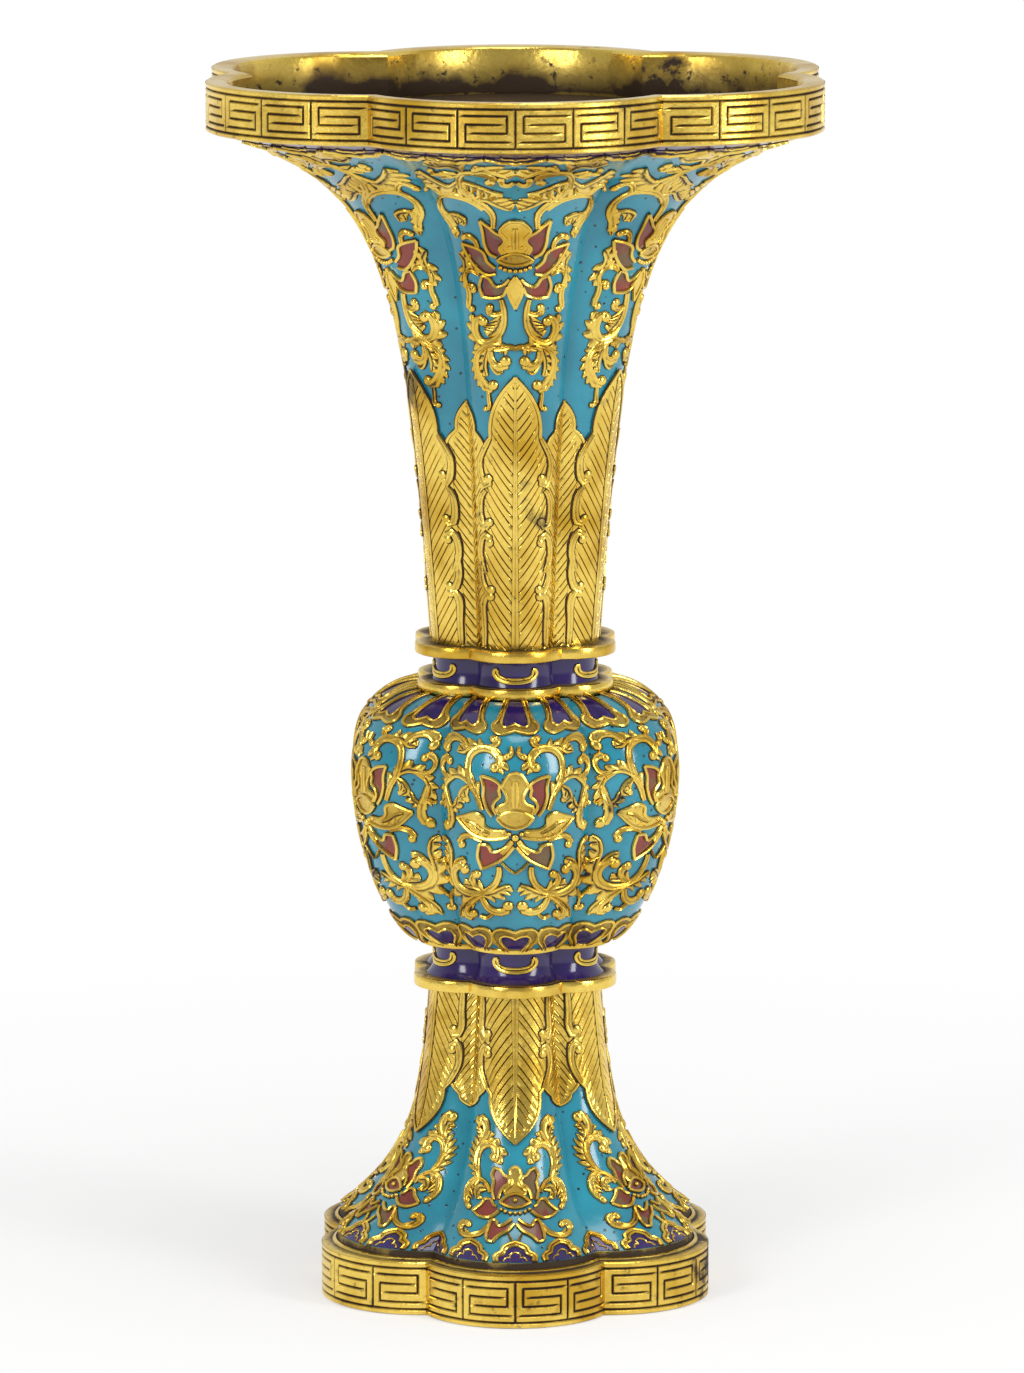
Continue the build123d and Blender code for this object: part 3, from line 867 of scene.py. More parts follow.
def draw_panel(face, strokes, petals, beads=()):
    """Gilt plot and red plot of one lobe from the right half of its drawing."""
    gold, glass = Plot(), Plot()

    def on_panel(points):
        return [(u, float(face.along(z))) for u, z in points]

    for kind, width, teeth, points in strokes:
        for side, drawn in zip((1, -1), both_sides(on_panel(points))):
            if side == 1 or not on_middle(points):
                stroke(gold, face, kind, width, drawn, teeth * side)
    for kind, *edges in petals:
        lift, worn = FILLS[kind]
        for k, (first, second) in enumerate(zip(both_sides(on_panel(edges[0])),
                                                both_sides(on_panel(edges[1])))):
            filling(glass if kind == "red" else gold, face, first, second, lift, patina=worn)
            for edge in edges:
                if not on_middle(edge):
                    rim(gold, face, both_sides(on_panel(edge))[k], 0.42)
    for radius, places in beads:
        for u, z in places:
            for side in ((1, -1) if u else (1,)):
                knob(gold, face, on_panel([(side * u, z)])[0], radius, 0.8)
    return gold, glass

# %% [markdown]
# ## Lotus scrolls, first on the bulb
# Each lobe carries one lotus head among scrolling stems, three times over: tall on the neck, wide
# on the bulb and small on the foot. The lines are free-hand, so no rule could make them. Their
# places were read off the photograph and turned into places on the lobe. The tables give
# kind, half width, teeth and (across, height) places. Minus turns the teeth round.

# %% Bulb scroll
bulb_strokes = [
    ("scroll", 0.72, 0, [(8.2, 126.0), (9.6, 129.7), (11.3, 132.3), (12.0, 135.5), (11.4, 138.6),
                         (9.1, 140.4), (6.2, 140.6), (4.2, 139.3), (3.8, 137.3), (5.0, 136.4)]),
    ("frond", 1.5, -3, [(4.4, 139.3), (3.7, 137.6), (4.3, 135.6)]),
    ("frond", 1.5, 4, [(7.0, 140.4), (9.4, 140.9), (11.6, 140.4), (13.0, 139.6), (15.0, 139.3)]),
    ("scroll", 0.85, 0, [(11.8, 140.0), (13.6, 142.0), (16.6, 142.4), (18.9, 141.3),
                         (19.2, 139.9)]),
    ("scroll", 0.6, 0, [(6.2, 140.8), (4.6, 141.6), (4.1, 142.6), (5.2, 142.7)]),
    ("scroll", 0.5, 0, [(1.0, 141.2), (0.9, 139.6), (2.1, 138.9)]),
    ("frond", 1.5, 5, [(9.0, 129.3), (10.9, 132.0), (14.0, 133.7), (17.2, 133.2), (19.2, 131.3)]),
    ("frond", 1.3, 6, [(16.2, 133.4), (18.8, 131.6), (19.6, 128.9), (18.6, 126.6), (17.6, 124.6)]),
    ("scroll", 0.85, 0, [(19.4, 130.4), (18.4, 127.4), (17.3, 124.6), (17.4, 121.9),
                         (19.0, 121.0)]),
    ("frond", 1.7, -4, [(11.6, 131.6), (13.4, 130.4), (14.2, 128.6), (12.6, 127.6)]),
    ("frond", 1.2, 3, [(17.5, 125.2), (15.6, 126.6), (14.9, 128.6)]),
    ("scroll", 0.62, 0, [(17.8, 132.8), (20.2, 133.9), (20.8, 136.1), (19.2, 137.6),
                         (17.9, 136.9)]),
    ("stem", 0.45, 0, [(18.9, 127.2), (20.4, 126.0), (21.2, 126.6)]),
    ("scroll", 0.62, 0, [(8.1, 118.3), (10.3, 119.1), (12.8, 119.1), (14.4, 117.9),
                         (13.8, 116.8)]),
    ("scroll", 0.78, 0, [(3.9, 111.9), (3.9, 109.9), (4.8, 107.3), (7.1, 105.2), (10.6, 104.3),
                         (14.4, 105.2), (16.6, 107.4), (16.5, 110.0), (14.5, 111.3),
                         (13.0, 110.4)]),
    ("frond", 2.0, -8, [(7.6, 104.6), (11.6, 103.7), (15.2, 104.8), (17.2, 107.4), (17.8, 110.6),
                        (17.6, 113.8), (18.6, 116.6), (20.6, 117.9)]),
    ("frond", 1.2, 3, [(16.8, 110.2), (15.2, 112.4), (12.9, 113.3)]),
    ("stem", 0.5, 0, [(17.8, 112.6), (19.8, 111.5), (21.0, 112.2)]),
    ("frond", 1.4, 3, [(7.6, 105.4), (10.0, 106.2), (13.2, 106.5)]),
    ("scroll", 0.66, 0, [(8.2, 105.4), (10.4, 107.0), (10.8, 108.8), (9.5, 109.5)]),
    ("frond", 1.8, 4, [(7.9, 104.3), (5.4, 105.0), (3.2, 106.2), (1.2, 107.0)]),
    ("scroll", 0.8, 0, [(8.2, 103.6), (7.0, 101.2), (4.8, 99.9), (2.4, 100.1), (1.7, 101.5)]),
    ("frond", 1.7, -3, [(9.6, 103.9), (12.4, 101.9), (14.4, 99.6), (14.9, 97.6)]),
    ("scroll", 0.75, 0, [(9.2, 103.4), (12.0, 101.0), (13.0, 98.6), (11.4, 97.9), (10.6, 98.8)]),
    ("scroll", 0.55, 0, [(17.2, 104.6), (18.9, 102.0), (18.6, 99.6), (17.6, 99.4)]),
    ("stem", 0.5, 0, [(5.4, 99.4), (6.8, 98.2), (8.6, 98.6)]),
    ("stem", 0.26, 0, [(0.0, 110.2), (1.7, 111.4), (3.2, 113.0)]),
    ("stem", 0.75, 0, [(0.7, 118.5), (1.9, 116.8), (3.2, 115.3)]),
    ("stem", 0.95, 0, [(0.0, 126.9), (0.0, 129.6), (0.0, 133.2)]),
    ("frond", 0.9, 3, [(12.6, 122.9), (10.4, 122.3), (8.4, 121.0), (6.2, 120.2)]),
]
bulb_petals = [
    ("worn", [(0.0, 125.9), (0.0, 127.9), (0.0, 131.0), (0.0, 135.1)],
     [(3.8, 125.2), (4.5, 126.1), (4.0, 127.1), (2.5, 127.8), (1.9, 129.2), (2.5, 130.8),
      (3.1, 132.0), (2.3, 133.6), (1.4, 134.8), (0.0, 135.3)]),
    ("red", [(4.4, 125.2), (5.3, 126.9), (4.8, 128.4), (3.6, 129.6), (3.9, 131.2), (3.6, 132.4),
             (5.5, 133.7), (8.3, 134.3)],
     [(5.5, 124.7), (6.9, 126.7), (7.7, 129.4), (7.6, 131.6), (8.3, 134.3)]),
    ("worn", [(0.0, 126.1), (1.9, 125.7), (3.3, 125.0), (4.3, 124.2)],
     [(0.0, 121.6), (1.9, 122.1), (3.3, 123.0), (4.3, 124.2)]),
    ("worn", [(2.3, 121.1), (5.5, 121.1), (7.6, 122.2), (7.9, 124.3), (9.9, 125.2), (12.3, 124.4),
              (15.1, 123.5)],
     [(1.5, 119.6), (4.7, 118.9), (8.1, 119.0), (11.5, 120.4), (15.1, 123.5)]),
    ("red", [(0.8, 118.7), (1.8, 117.3), (3.9, 116.0), (5.6, 115.7), (6.6, 117.3), (8.8, 117.4)],
     [(0.3, 117.1), (2.3, 114.6), (4.7, 112.8), (8.1, 111.1)],
     [(8.8, 117.4), (9.2, 114.2), (8.1, 111.1)]),
]
bulb_beads = [(0.95, [(0.0, 119.3)]), (0.6, [(1.5, 120.3), (2.9, 120.7)])]
print("bulb drawing", len(bulb_strokes), "strokes", len(bulb_petals), "petals")

# %% [markdown]
# ## Neck scroll
# The neck's lobe is narrow at the leaves and wide at the mouth, so its fronds grow with it.

# %% Neck scroll
neck_strokes = [
    ("scroll", 0.72, 0, [(3.4, 248.8), (2.8, 246.2), (2.7, 243.0), (3.6, 240.2), (5.6, 238.3),
                         (8.2, 237.9), (10.0, 240.0), (10.1, 242.6), (8.9, 243.9), (7.9, 243.0)]),
    ("frond", 1.5, -6, [(3.4, 240.2), (5.4, 237.9), (8.3, 237.4), (10.4, 239.6), (10.9, 242.4),
                        (10.9, 244.6)]),
    ("scroll", 0.6, 0, [(3.0, 245.5), (5.0, 244.9), (6.4, 245.5), (6.2, 246.6)]),
    ("frond", 2.2, 5, [(3.2, 245.0), (3.5, 242.8), (4.6, 240.8), (6.4, 239.5)]),
    ("stem", 0.7, 0, [(0.0, 236.5), (1.5, 236.9), (3.0, 236.5), (5.0, 236.3)]),
    ("frond", 1.6, 3, [(5.6, 237.2), (3.6, 237.4), (1.6, 236.6)]),
    ("scroll", 0.78, 0, [(5.0, 237.5), (8.0, 236.5), (9.8, 234.3), (10.0, 231.5), (8.7, 228.8),
                         (7.2, 226.8), (5.8, 226.3), (5.4, 227.2)]),
    ("frond", 1.1, 7, [(7.2, 236.9), (9.6, 234.8), (10.1, 231.6), (9.0, 228.6), (7.2, 226.0)]),
    ("frond", 1.2, 4, [(6.6, 236.2), (7.3, 233.9), (7.5, 231.6), (6.9, 229.6)]),
    ("frond", 1.1, -4, [(5.6, 234.2), (5.4, 232.2), (4.2, 230.6), (2.9, 230.9)]),
    ("scroll", 0.8, 0, [(6.0, 235.8), (5.9, 233.7), (4.5, 232.1), (2.6, 232.2), (2.3, 233.3)]),
    ("scroll", 0.45, 0, [(6.6, 225.8), (6.4, 223.6), (6.2, 221.8), (7.2, 221.4)]),
    ("frond", 1.3, 5, [(8.8, 254.9), (10.9, 256.1), (12.9, 255.6), (13.5, 253.6), (12.6, 251.4)]),
    ("scroll", 0.55, 0, [(8.8, 254.7), (10.9, 255.8), (12.7, 255.0), (13.1, 253.2), (12.1, 250.9),
                         (11.9, 248.9), (12.2, 246.8), (11.1, 246.0)]),
    ("scroll", 0.5, 0, [(12.6, 251.8), (10.8, 251.9), (10.4, 250.8)]),
    ("frond", 1.5, 3, [(13.0, 255.2), (13.0, 257.9), (14.6, 260.0)]),
    ("scroll", 0.55, 0, [(9.1, 261.6), (9.9, 263.4), (11.6, 264.5), (13.0, 264.2)]),
    ("scroll", 0.8, 0, [(5.3, 267.0), (5.4, 270.0), (7.0, 272.3), (10.4, 274.7), (13.1, 277.5),
                        (13.8, 280.2), (12.3, 281.8), (8.3, 281.6), (5.4, 280.6), (6.0, 279.3)]),
    ("frond", 2.6, -5, [(10.2, 274.3), (7.0, 274.4), (4.6, 273.2), (2.6, 272.3), (0.9, 271.9)]),
    ("frond", 2.6, 5, [(13.0, 279.2), (10.6, 278.5), (8.2, 277.5), (5.6, 276.5), (3.0, 276.0)]),
    ("frond", 2.8, -4, [(10.6, 281.9), (7.6, 282.6), (4.6, 282.0), (1.6, 280.8)]),
    ("frond", 2.4, 3, [(13.6, 281.4), (16.2, 280.6), (18.6, 280.4)]),
    ("frond", 2.3, 5, [(7.7, 272.2), (9.7, 273.3), (12.6, 274.4), (16.4, 275.0), (19.4, 274.6)]),
    ("scroll", 0.72, 0, [(7.7, 271.8), (9.7, 273.3), (12.6, 274.6), (16.7, 275.4), (19.7, 274.7),
                         (20.6, 272.4), (19.4, 270.0), (17.2, 267.8), (15.9, 265.7)]),
    ("frond", 1.7, 4, [(18.9, 269.5), (15.6, 269.9), (13.0, 269.0), (12.6, 267.4)]),
    ("frond", 1.2, -3, [(19.2, 270.8), (17.4, 267.6), (15.2, 264.0)]),
    ("frond", 3.0, -6, [(14.1, 279.3), (16.6, 277.6), (19.6, 278.4), (22.9, 279.8),
                        (26.0, 281.5)]),
    ("scroll", 0.6, 0, [(19.6, 275.4), (21.6, 276.9), (23.9, 277.6), (24.9, 276.2)]),
    ("scroll", 0.6, 0, [(0.3, 279.4), (1.6, 278.5), (3.2, 278.9), (3.4, 280.1)]),
    ("scroll", 0.6, 0, [(0.4, 283.0), (2.6, 281.4), (5.6, 282.6), (8.2, 283.6), (9.6, 283.0)]),
    ("frond", 3.0, 4, [(13.0, 282.4), (16.0, 283.8), (19.6, 283.4), (23.6, 284.4)]),
    ("scroll", 0.55, 0, [(15.4, 280.6), (18.2, 281.2), (21.0, 281.0), (21.9, 282.2)]),
    ("stem", 0.9, 0, [(0.0, 261.6), (0.0, 263.6), (0.0, 266.9)]),
]
neck_petals = [
    ("gilt", [(0.0, 260.7), (0.0, 263.0), (0.0, 265.8), (0.0, 268.6)],
     [(2.4, 260.6), (3.3, 261.7), (2.7, 262.6), (2.1, 263.9), (2.9, 265.1), (3.7, 266.1),
      (3.0, 267.4), (1.7, 268.5), (0.0, 268.8)]),
    ("red", [(3.0, 260.4), (3.8, 261.8), (2.9, 262.8), (2.5, 263.9), (3.3, 265.0), (4.7, 265.7),
             (6.3, 267.1), (8.6, 268.9)],
     [(4.4, 259.5), (6.3, 260.5), (7.4, 262.9), (7.8, 265.8), (8.6, 268.9)]),
    ("worn", [(0.0, 260.5), (1.7, 260.2), (3.2, 259.5), (4.2, 258.7)],
     [(0.0, 257.4), (1.7, 257.6), (3.2, 258.1), (4.2, 258.7)]),
    ("red", [(4.8, 256.7), (6.7, 258.3), (7.6, 260.5), (9.8, 261.7), (13.7, 262.6)],
     [(4.6, 255.2), (7.0, 255.0), (9.6, 256.8), (12.0, 259.6), (13.7, 262.6)]),
    ("red", [(1.4, 254.0), (2.8, 252.5), (4.8, 252.1), (6.3, 254.1), (8.0, 254.7)],
     [(1.8, 252.0), (2.8, 249.9), (5.0, 249.1), (7.8, 249.3)],
     [(8.0, 254.7), (8.7, 251.9), (7.8, 249.3)]),
    ("gilt", [(0.0, 254.6), (0.0, 252.0), (0.0, 249.0), (0.0, 246.7)],
     [(0.0, 254.6), (1.3, 252.6), (1.6, 250.4), (0.0, 246.6)]),
]
neck_beads = [(0.6, [(0.0, 256.0), (1.25, 256.1), (2.4, 256.4), (3.5, 256.9)]),
              (0.5, [(1.5, 262.0)])]
print("neck drawing", len(neck_strokes), "strokes", len(neck_petals), "petals")

# %% [markdown]
# ## Foot scroll
# The foot carries the smallest of the three, spread over the flare.

# %% Foot scroll
foot_strokes = [
    ("scroll", 0.6, 0, [(6.3, 29.2), (7.0, 30.9), (9.0, 32.1), (11.3, 31.3), (12.9, 29.2),
                        (13.3, 27.0), (12.4, 25.9)]),
    ("frond", 1.6, -5, [(9.0, 32.0), (11.4, 31.2), (13.0, 29.2), (13.4, 26.8)]),
    ("frond", 1.6, -3, [(6.9, 29.9), (8.7, 30.3), (10.0, 29.0), (9.8, 27.6)]),
    ("scroll", 0.72, 0, [(9.1, 32.2), (9.9, 34.4), (9.9, 36.8), (8.9, 38.9), (7.2, 40.1),
                         (5.5, 40.0), (4.7, 38.6), (5.2, 37.2)]),
    ("frond", 1.7, -7, [(9.4, 32.0), (10.3, 34.2), (10.3, 36.8), (9.4, 39.2), (8.1, 41.0)]),
    ("frond", 1.2, -3, [(6.9, 40.2), (4.8, 39.8), (3.9, 38.0), (4.6, 35.9)]),
    ("frond", 1.0, 3, [(8.4, 40.2), (6.9, 41.3), (6.0, 43.1)]),
    ("scroll", 0.8, 0, [(8.7, 40.3), (7.4, 42.5), (7.3, 44.4), (8.2, 45.7), (9.3, 45.2)]),
    ("frond", 1.0, -3, [(8.8, 40.6), (8.9, 42.6), (9.8, 43.9)]),
    ("scroll", 0.62, 0, [(6.4, 22.6), (8.4, 20.9), (11.4, 20.0), (14.2, 20.1), (14.8, 21.3),
                         (13.4, 22.4), (12.2, 22.3)]),
    ("frond", 1.2, 3, [(11.0, 20.1), (14.4, 20.2), (15.3, 21.6)]),
    ("stem", 0.24, 0, [(0.0, 18.7), (0.8, 19.6), (1.6, 20.9)]),
]
foot_petals = [
    ("worn", [(0.0, 29.6), (0.0, 31.0), (0.0, 33.0), (0.0, 35.1)],
     [(1.9, 28.8), (2.7, 29.6), (1.9, 30.4), (0.9, 31.2), (0.8, 32.4), (1.4, 33.5), (1.0, 34.7),
      (0.0, 35.2)]),
    ("red", [(4.0, 28.0), (3.5, 29.6), (2.5, 30.8), (1.6, 31.3), (1.6, 32.7), (2.7, 33.2),
             (3.5, 34.3), (4.8, 34.8)],
     [(5.2, 27.7), (5.6, 29.8), (5.2, 31.7), (5.7, 33.2), (4.8, 34.8)]),
    ("red", [(0.0, 29.3), (1.5, 28.9), (2.6, 28.2), (3.7, 27.3)],
     [(0.0, 26.2), (1.5, 26.4), (2.6, 26.8), (3.7, 27.3)]),
    ("red", [(4.5, 26.4), (5.3, 26.7), (5.9, 27.7), (7.3, 27.8), (8.6, 26.5), (10.9, 25.0)],
     [(4.0, 25.4), (5.4, 24.4), (7.0, 23.9), (9.2, 24.1), (10.9, 25.0)]),
    ("red", [(0.9, 23.8), (2.6, 22.7), (4.2, 22.4), (4.5, 23.4), (5.9, 23.3), (7.1, 20.7)],
     [(0.4, 22.8), (1.9, 21.4), (3.9, 20.5), (5.6, 19.2)], [(7.1, 20.7), (7.0, 19.4),
                                                            (5.6, 19.2)]),
]
foot_beads = [(0.5, [(0.0, 25.1), (1.2, 25.1), (2.4, 25.4), (3.4, 25.8)]), (0.6, [(0.0, 27.8)])]

for name, face, strokes, petals, beads in (
        ("neck", neck, neck_strokes, neck_petals, neck_beads),
        ("bulb", bulb, bulb_strokes, bulb_petals, bulb_beads),
        ("foot", foot, foot_strokes, foot_petals, foot_beads)):
    gold, glass = draw_panel(face, strokes, petals, beads)
    ring_piece(name + "_gilt_scroll", gold, gilt, [name + "_scroll"])
    ring_piece(name + "_red_petals", glass, red, [])

# %% [markdown]
# ## Plantain leaves
# Six large leaves lie on the crests and six small ones in the grooves, upright on the neck and
# hanging on the foot. Veins cut into a plain grid would need very many faces. So a leaf's rows
# of corners run along its veins: every vein is a true groove with few faces, and the rows end
# where they meet the leaf's outline.

# %% Half a leaf
ROW_BEND = 0.25  # how much more a vein leans at the edge of the leaf
VEIN_HALF_WIDTH = 0.3


def leaf_half_width(s, tip, notch, broad, narrow, shoulder=7.0):
    """Half width of a leaf at a way s from its base: straight sides, shoulder, pointed tip."""
    s = np.asarray(s, float)
    fall = np.clip((s - notch + shoulder) / shoulder, 0, 1)
    q = np.clip((s - notch) / (tip - notch), 0, 1)
    return np.where(s < notch, broad - (broad - narrow) * fall**2.4,
                    narrow * (1 - q**1.8) * (1 + 0.38 * q))


def vein_rows(tip, pitch, lean, broad):
    """Starts of the leaf's rows, each with its depth: three for a vein and one between."""
    rows = []
    for k, start in enumerate(np.arange(-lean * broad - pitch, tip - 1.6, pitch)):
        start += 0.12 * pitch * sin(2.4 * k)
        rows += [(start - VEIN_HALF_WIDTH, 0), (start, 1), (start + VEIN_HALF_WIDTH, 0),
                 (start + pitch / 2, 0)]
    return rows + [(tip - 0.9, 0), (tip - 0.1, 0)]


def half_leaf(plot, place, width_at, tip, pitch, lean, broad, rise, side, columns=10, depth=0.36):
    """One side of a leaf; place turns (x, s, lift) into space."""
    fade = np.interp(np.linspace(0, 1, columns), [0, 0.06, 0.1, 0.72, 0.86, 1], [0, 0, 1, 1, 0, 0])
    corners, patina = [], []
    x = np.linspace(0, broad * 1.05, 90)
    for start, sunk in vein_rows(tip, pitch, lean, broad):
        s = start + lean * x * (1 + ROW_BEND * x / broad)
        inside = (s >= 0) & (x <= width_at(s))
        if inside.sum() < 2:
            continue
        first, last = x[inside][0], x[inside][-1]
        across = np.linspace(first, last, columns)
        along = start + lean * across * (1 + ROW_BEND * across / broad)
        cut = sunk * fade * min(1, (last - first) / 2.5)
        bulge = 0.12 * (1 - (across / broad) ** 2)
        lift = rise + bulge - depth * cut
        # The last column turns down to close the leaf's edge, dark there with grime and painted
        # shade.
        across, along = np.append(across, across[-1] + 0.05), np.append(along, along[-1])
        lift, cut = np.append(lift, -0.15), np.append(cut * 0.9, 0.9)
        corners.append(place(side * across, along, lift))
        patina.append(cut)
    corners, patina = np.array(corners), np.array(patina)
    if side * place.direction < 0:
        corners, patina = corners[:, ::-1], patina[:, ::-1]
    plot.add_grid(corners, patina)

# %% Places of leaves
class LeafPlace:
    """Where a leaf or a lappet stands: from a base, up or down, at a share of the half lobe."""

    def __init__(self, face, base, direction, groove=0):
        self.face, self.base, self.direction, self.groove = face, base, direction, groove

    def __call__(self, across, along, lift):
        run = self.base + self.direction * along
        centre = self.groove * self.face.half_width(run)
        return self.face.at(centre + across, run, lift)

    def path(self, points):
        """Stroke points of (x, s) as places on the face."""
        points = np.asarray(points, float)
        run = self.base + self.direction * points[:, 1]
        return np.stack([self.groove * self.face.half_width(run) + points[:, 0], run], -1)

# %% One lobe's leaves
# Half width at a leaf's base and at its notch
SMALL_BROAD, SMALL_NARROW = 6.0, 3.1
LARGE_BROAD, LARGE_NARROW = 8.7, 6.1
VEIN_PITCH = 2.7


def plantain_leaves(face, base, direction, large, small, notch, curls):
    """Gilt plot of one lobe's large leaf and of the two halves of small leaf beside it."""
    plot = Plot()

    def small_width(s):
        return leaf_half_width(s, small, notch + 1.0, SMALL_BROAD, SMALL_NARROW, 5.0)

    def large_width(s):
        return leaf_half_width(s, large, notch, LARGE_BROAD, LARGE_NARROW)

    for groove in (-1, 1):
        spot, side = LeafPlace(face, base, direction, groove), -groove
        half_leaf(plot, spot, small_width, small, VEIN_PITCH * 0.85, 1.2, SMALL_BROAD, 0.22, side,
                  8, 0.22)
        s = np.linspace(notch - 5.5, small - 0.1, 30)
        edge = np.stack([side * (small_width(s) - 0.15), s], -1)
        rim(plot, face, spot.path(edge), 0.34, 0.42, 0.28)
    spot = LeafPlace(face, base, direction)
    for side in (1, -1):
        half_leaf(plot, spot, large_width, large, VEIN_PITCH, 1.25, LARGE_BROAD, 0.6, side)
        s = np.concatenate([np.linspace(notch - 6, notch, 10),
                            np.linspace(notch + 0.3, large, 24)])
        edge = np.stack([side * np.maximum(large_width(s) - 0.3, 0), s], -1)
        rim(plot, face, spot.path(edge), 0.42, 0.42, 0.66)
        for curl in curls:
            curl = np.array([(side * (large_width(s) - inset), s) for inset, s in curl])
            stroke(plot, face, "scroll", 0.6, spot.path(curl), rise=0.55, ground=0.72)
    midrib = np.stack([np.zeros(30), np.linspace(0.4, large - 1.5, 30)], -1)
    half = np.linspace(0.9, 0.24, 30)
    ribbon(plot, face, spot.path(midrib), half, half, 0.28, "stem", ground=0.70, foot=0.18)
    return plot

# %% Two tiers of leaves
# Curls of a large leaf's edge, as (way in from the edge, way from the base)
neck_curls = [[(0.3, 52.6), (0.1, 47.5), (0.3, 43.4), (1.4, 40.9), (2.5, 41.4), (2.4, 42.6)],
              [(1.6, 39.6), (0.4, 37.8), (0.1, 34.5), (0.6, 31.4), (1.8, 30.6), (2.6, 31.7)],
              [(1.5, 19.0), (0.2, 22.6), (0.2, 26.0), (1.1, 28.4), (2.4, 28.0), (2.6, 26.6)],
              [(0.6, 23.0), (0.4, 18.6), (1.2, 15.6), (2.4, 13.9), (3.1, 14.9)],
              [(1.3, 0.6), (1.2, 6.0), (0.9, 11.0), (1.8, 13.6), (2.9, 13.2)]]
foot_curls = [[(0.6, 0.6), (0.5, 5.0), (0.2, 8.6), (1.0, 11.0), (2.1, 10.9), (2.1, 9.8)],
              [(0.3, 23.2), (0.1, 19.0), (0.1, 15.4), (1.0, 13.0), (2.2, 13.6), (2.0, 14.8)]]
neck_leaves = plantain_leaves(neck, 0.0, 1, 68.2, 61.2, 52.9, neck_curls)
foot_leaves = plantain_leaves(foot, foot.run[-1], -1, 36.6, 28.6, 24.6, foot_curls)
for name, leaves in (("neck", neck_leaves), ("foot", foot_leaves)):
    ring_piece(name + "_plantain_leaves", leaves, gilt, [], sharp=40)

# %% [markdown]
# ## Lappets
# Purple lappets with double gilt borders stand round the shoulder and under the bulb, three to a
# lobe. Smaller ones hang under the mouth band, five to a lobe, and cloud heads run round the
# hem, four to a lobe with one on each groove. They are one pattern at four sizes, so one
# function draws them from half an outline.

# %% Lappets
def lappets(face, base, direction, places, outer, inner, extra=()):
    """Gilt borders and purple fields of one lobe's lappets, each drawn as half an outline."""
    gold, glass = Plot(), Plot()
    for share in places:
        spot = LeafPlace(face, base, direction, share)
        for side in ((1, -1) if abs(share) < 1 else (-np.sign(share),)):
            edges = [spot.path(np.asarray(edge, float) * (side, 1)) for edge in (outer, inner)]
            middle = spot.path([(0, s) for _, s in inner])
            # The gilt between the two borders sits lower and darker: painted shade of the groove
            # between them.
            filling(gold, face, *edges, 0.30, 14, 3, 0.5)
            filling(glass, face, edges[1], middle, 0.14, 14, 4)
            rim(gold, face, edges[0], 0.42, 0.75)
            rim(gold, face, edges[1], 0.34, 0.85)
            for line in extra:
                rim(gold, face, spot.path(np.asarray(line, float) * (side, 1)), 0.2, 0.5)
    return gold, glass

# %% Four rows of lappets
thirds = (-2 / 3, 0, 2 / 3)
shoulder = lappets(bulb, bulb.run[-1], -1, thirds,
                   [(2.4, 0.1), (2.9, 4), (3.5, 7.4), (4.2, 9.6), (5.4, 11.2), (5.3, 13.0),
                    (3.7, 13.9), (1.7, 13.5), (0.0, 12.9)],
                   [(1.7, 0.1), (2.2, 4), (2.8, 7.4), (3.2, 9.6), (3.2, 11.2), (2.4, 12.0),
                    (1.2, 11.7), (0.0, 10.9)])
lower = lappets(bulb, 0.0, 1, thirds,
                [(2.6, 0.1), (3.4, 2.2), (4.9, 4.4), (5.5, 6.8), (4.6, 8.7), (2.3, 8.9),
                 (0.0, 7.9)],
                [(1.7, 0.1), (2.4, 2.2), (3.4, 4.2), (3.5, 6.2), (2.6, 7.0), (1.2, 6.7),
                 (0.0, 5.8)])
hem = lappets(foot, 0.0, 1, (-1, -0.5, 0, 0.5, 1),
              [(5.0, 0.1), (5.2, 1.8), (4.1, 2.9), (3.4, 3.2), (3.0, 4.6), (1.6, 5.6), (0.0, 6.2)],
              [(4.3, 0.1), (4.4, 1.6), (3.4, 2.3), (2.7, 2.6), (2.3, 4.0), (1.2, 4.8), (0.0, 5.3)],
              extra=[[(2.9, 0.3), (2.2, 1.6), (1.2, 1.5), (1.3, 2.6), (0.0, 3.2)]])
mouth = lappets(neck, neck.run[-1], -1, (-0.8, -0.4, 0, 0.4, 0.8),
                [(7.4, 5.6), (6.9, 6.4), (5.6, 6.9), (4.9, 8.0), (3.6, 8.9), (1.8, 8.8),
                 (0.0, 9.9)],
                [(7.3, 5.1), (6.6, 5.8), (5.3, 6.3), (4.5, 7.3), (3.3, 8.2), (1.6, 8.1),
                 (0.0, 9.1)],
                extra=[[(3.4, 4.2), (2.6, 5.6), (1.2, 5.6), (0.0, 6.6)]])
for name, (gold, glass), nodes in (("mouth", mouth, []),
                                   ("shoulder", shoulder, ["shoulder_border_enamel"]),
                                   ("lower", lower, ["lower_border_enamel"]),
                                   ("hem", hem, ["hem_enamel"])):
    ring_piece(name + "_gilt_borders", gold, gilt, [])
    ring_piece(name + "_purple_fields", glass, purple, nodes)

# %% [markdown]
# ## Crescents
# Each collar carries one crescent to a lobe, drawn in a double gilt line.

# %% Crescents
# Right half of each line, as shares of the crescent's half width and of its height
CRESCENT_OUTER = [(0, 0), (0.34, 0.03), (0.66, 0.15), (0.89, 0.40), (0.98, 0.72), (0.92, 0.97),
                  (0.80, 0.98)]
CRESCENT_INNER = [(0, 0.27), (0.32, 0.29), (0.59, 0.38), (0.75, 0.56), (0.80, 0.76), (0.80, 0.96)]


def crescent(face, bottom, top, half_width):
    """Double gilt line of one crescent, open upwards, its two lines joined at the tips."""
    plot = Plot()
    for half, width in ((CRESCENT_OUTER, 0.50), (CRESCENT_INNER, 0.34)):
        whole = [(-x, y) for x, y in half[:0:-1]] + half
        points = [(half_width * x, float(face.along(bottom + (top - bottom) * y)))
                  for x, y in whole]
        rim(plot, face, points, width, 0.6)
    return plot


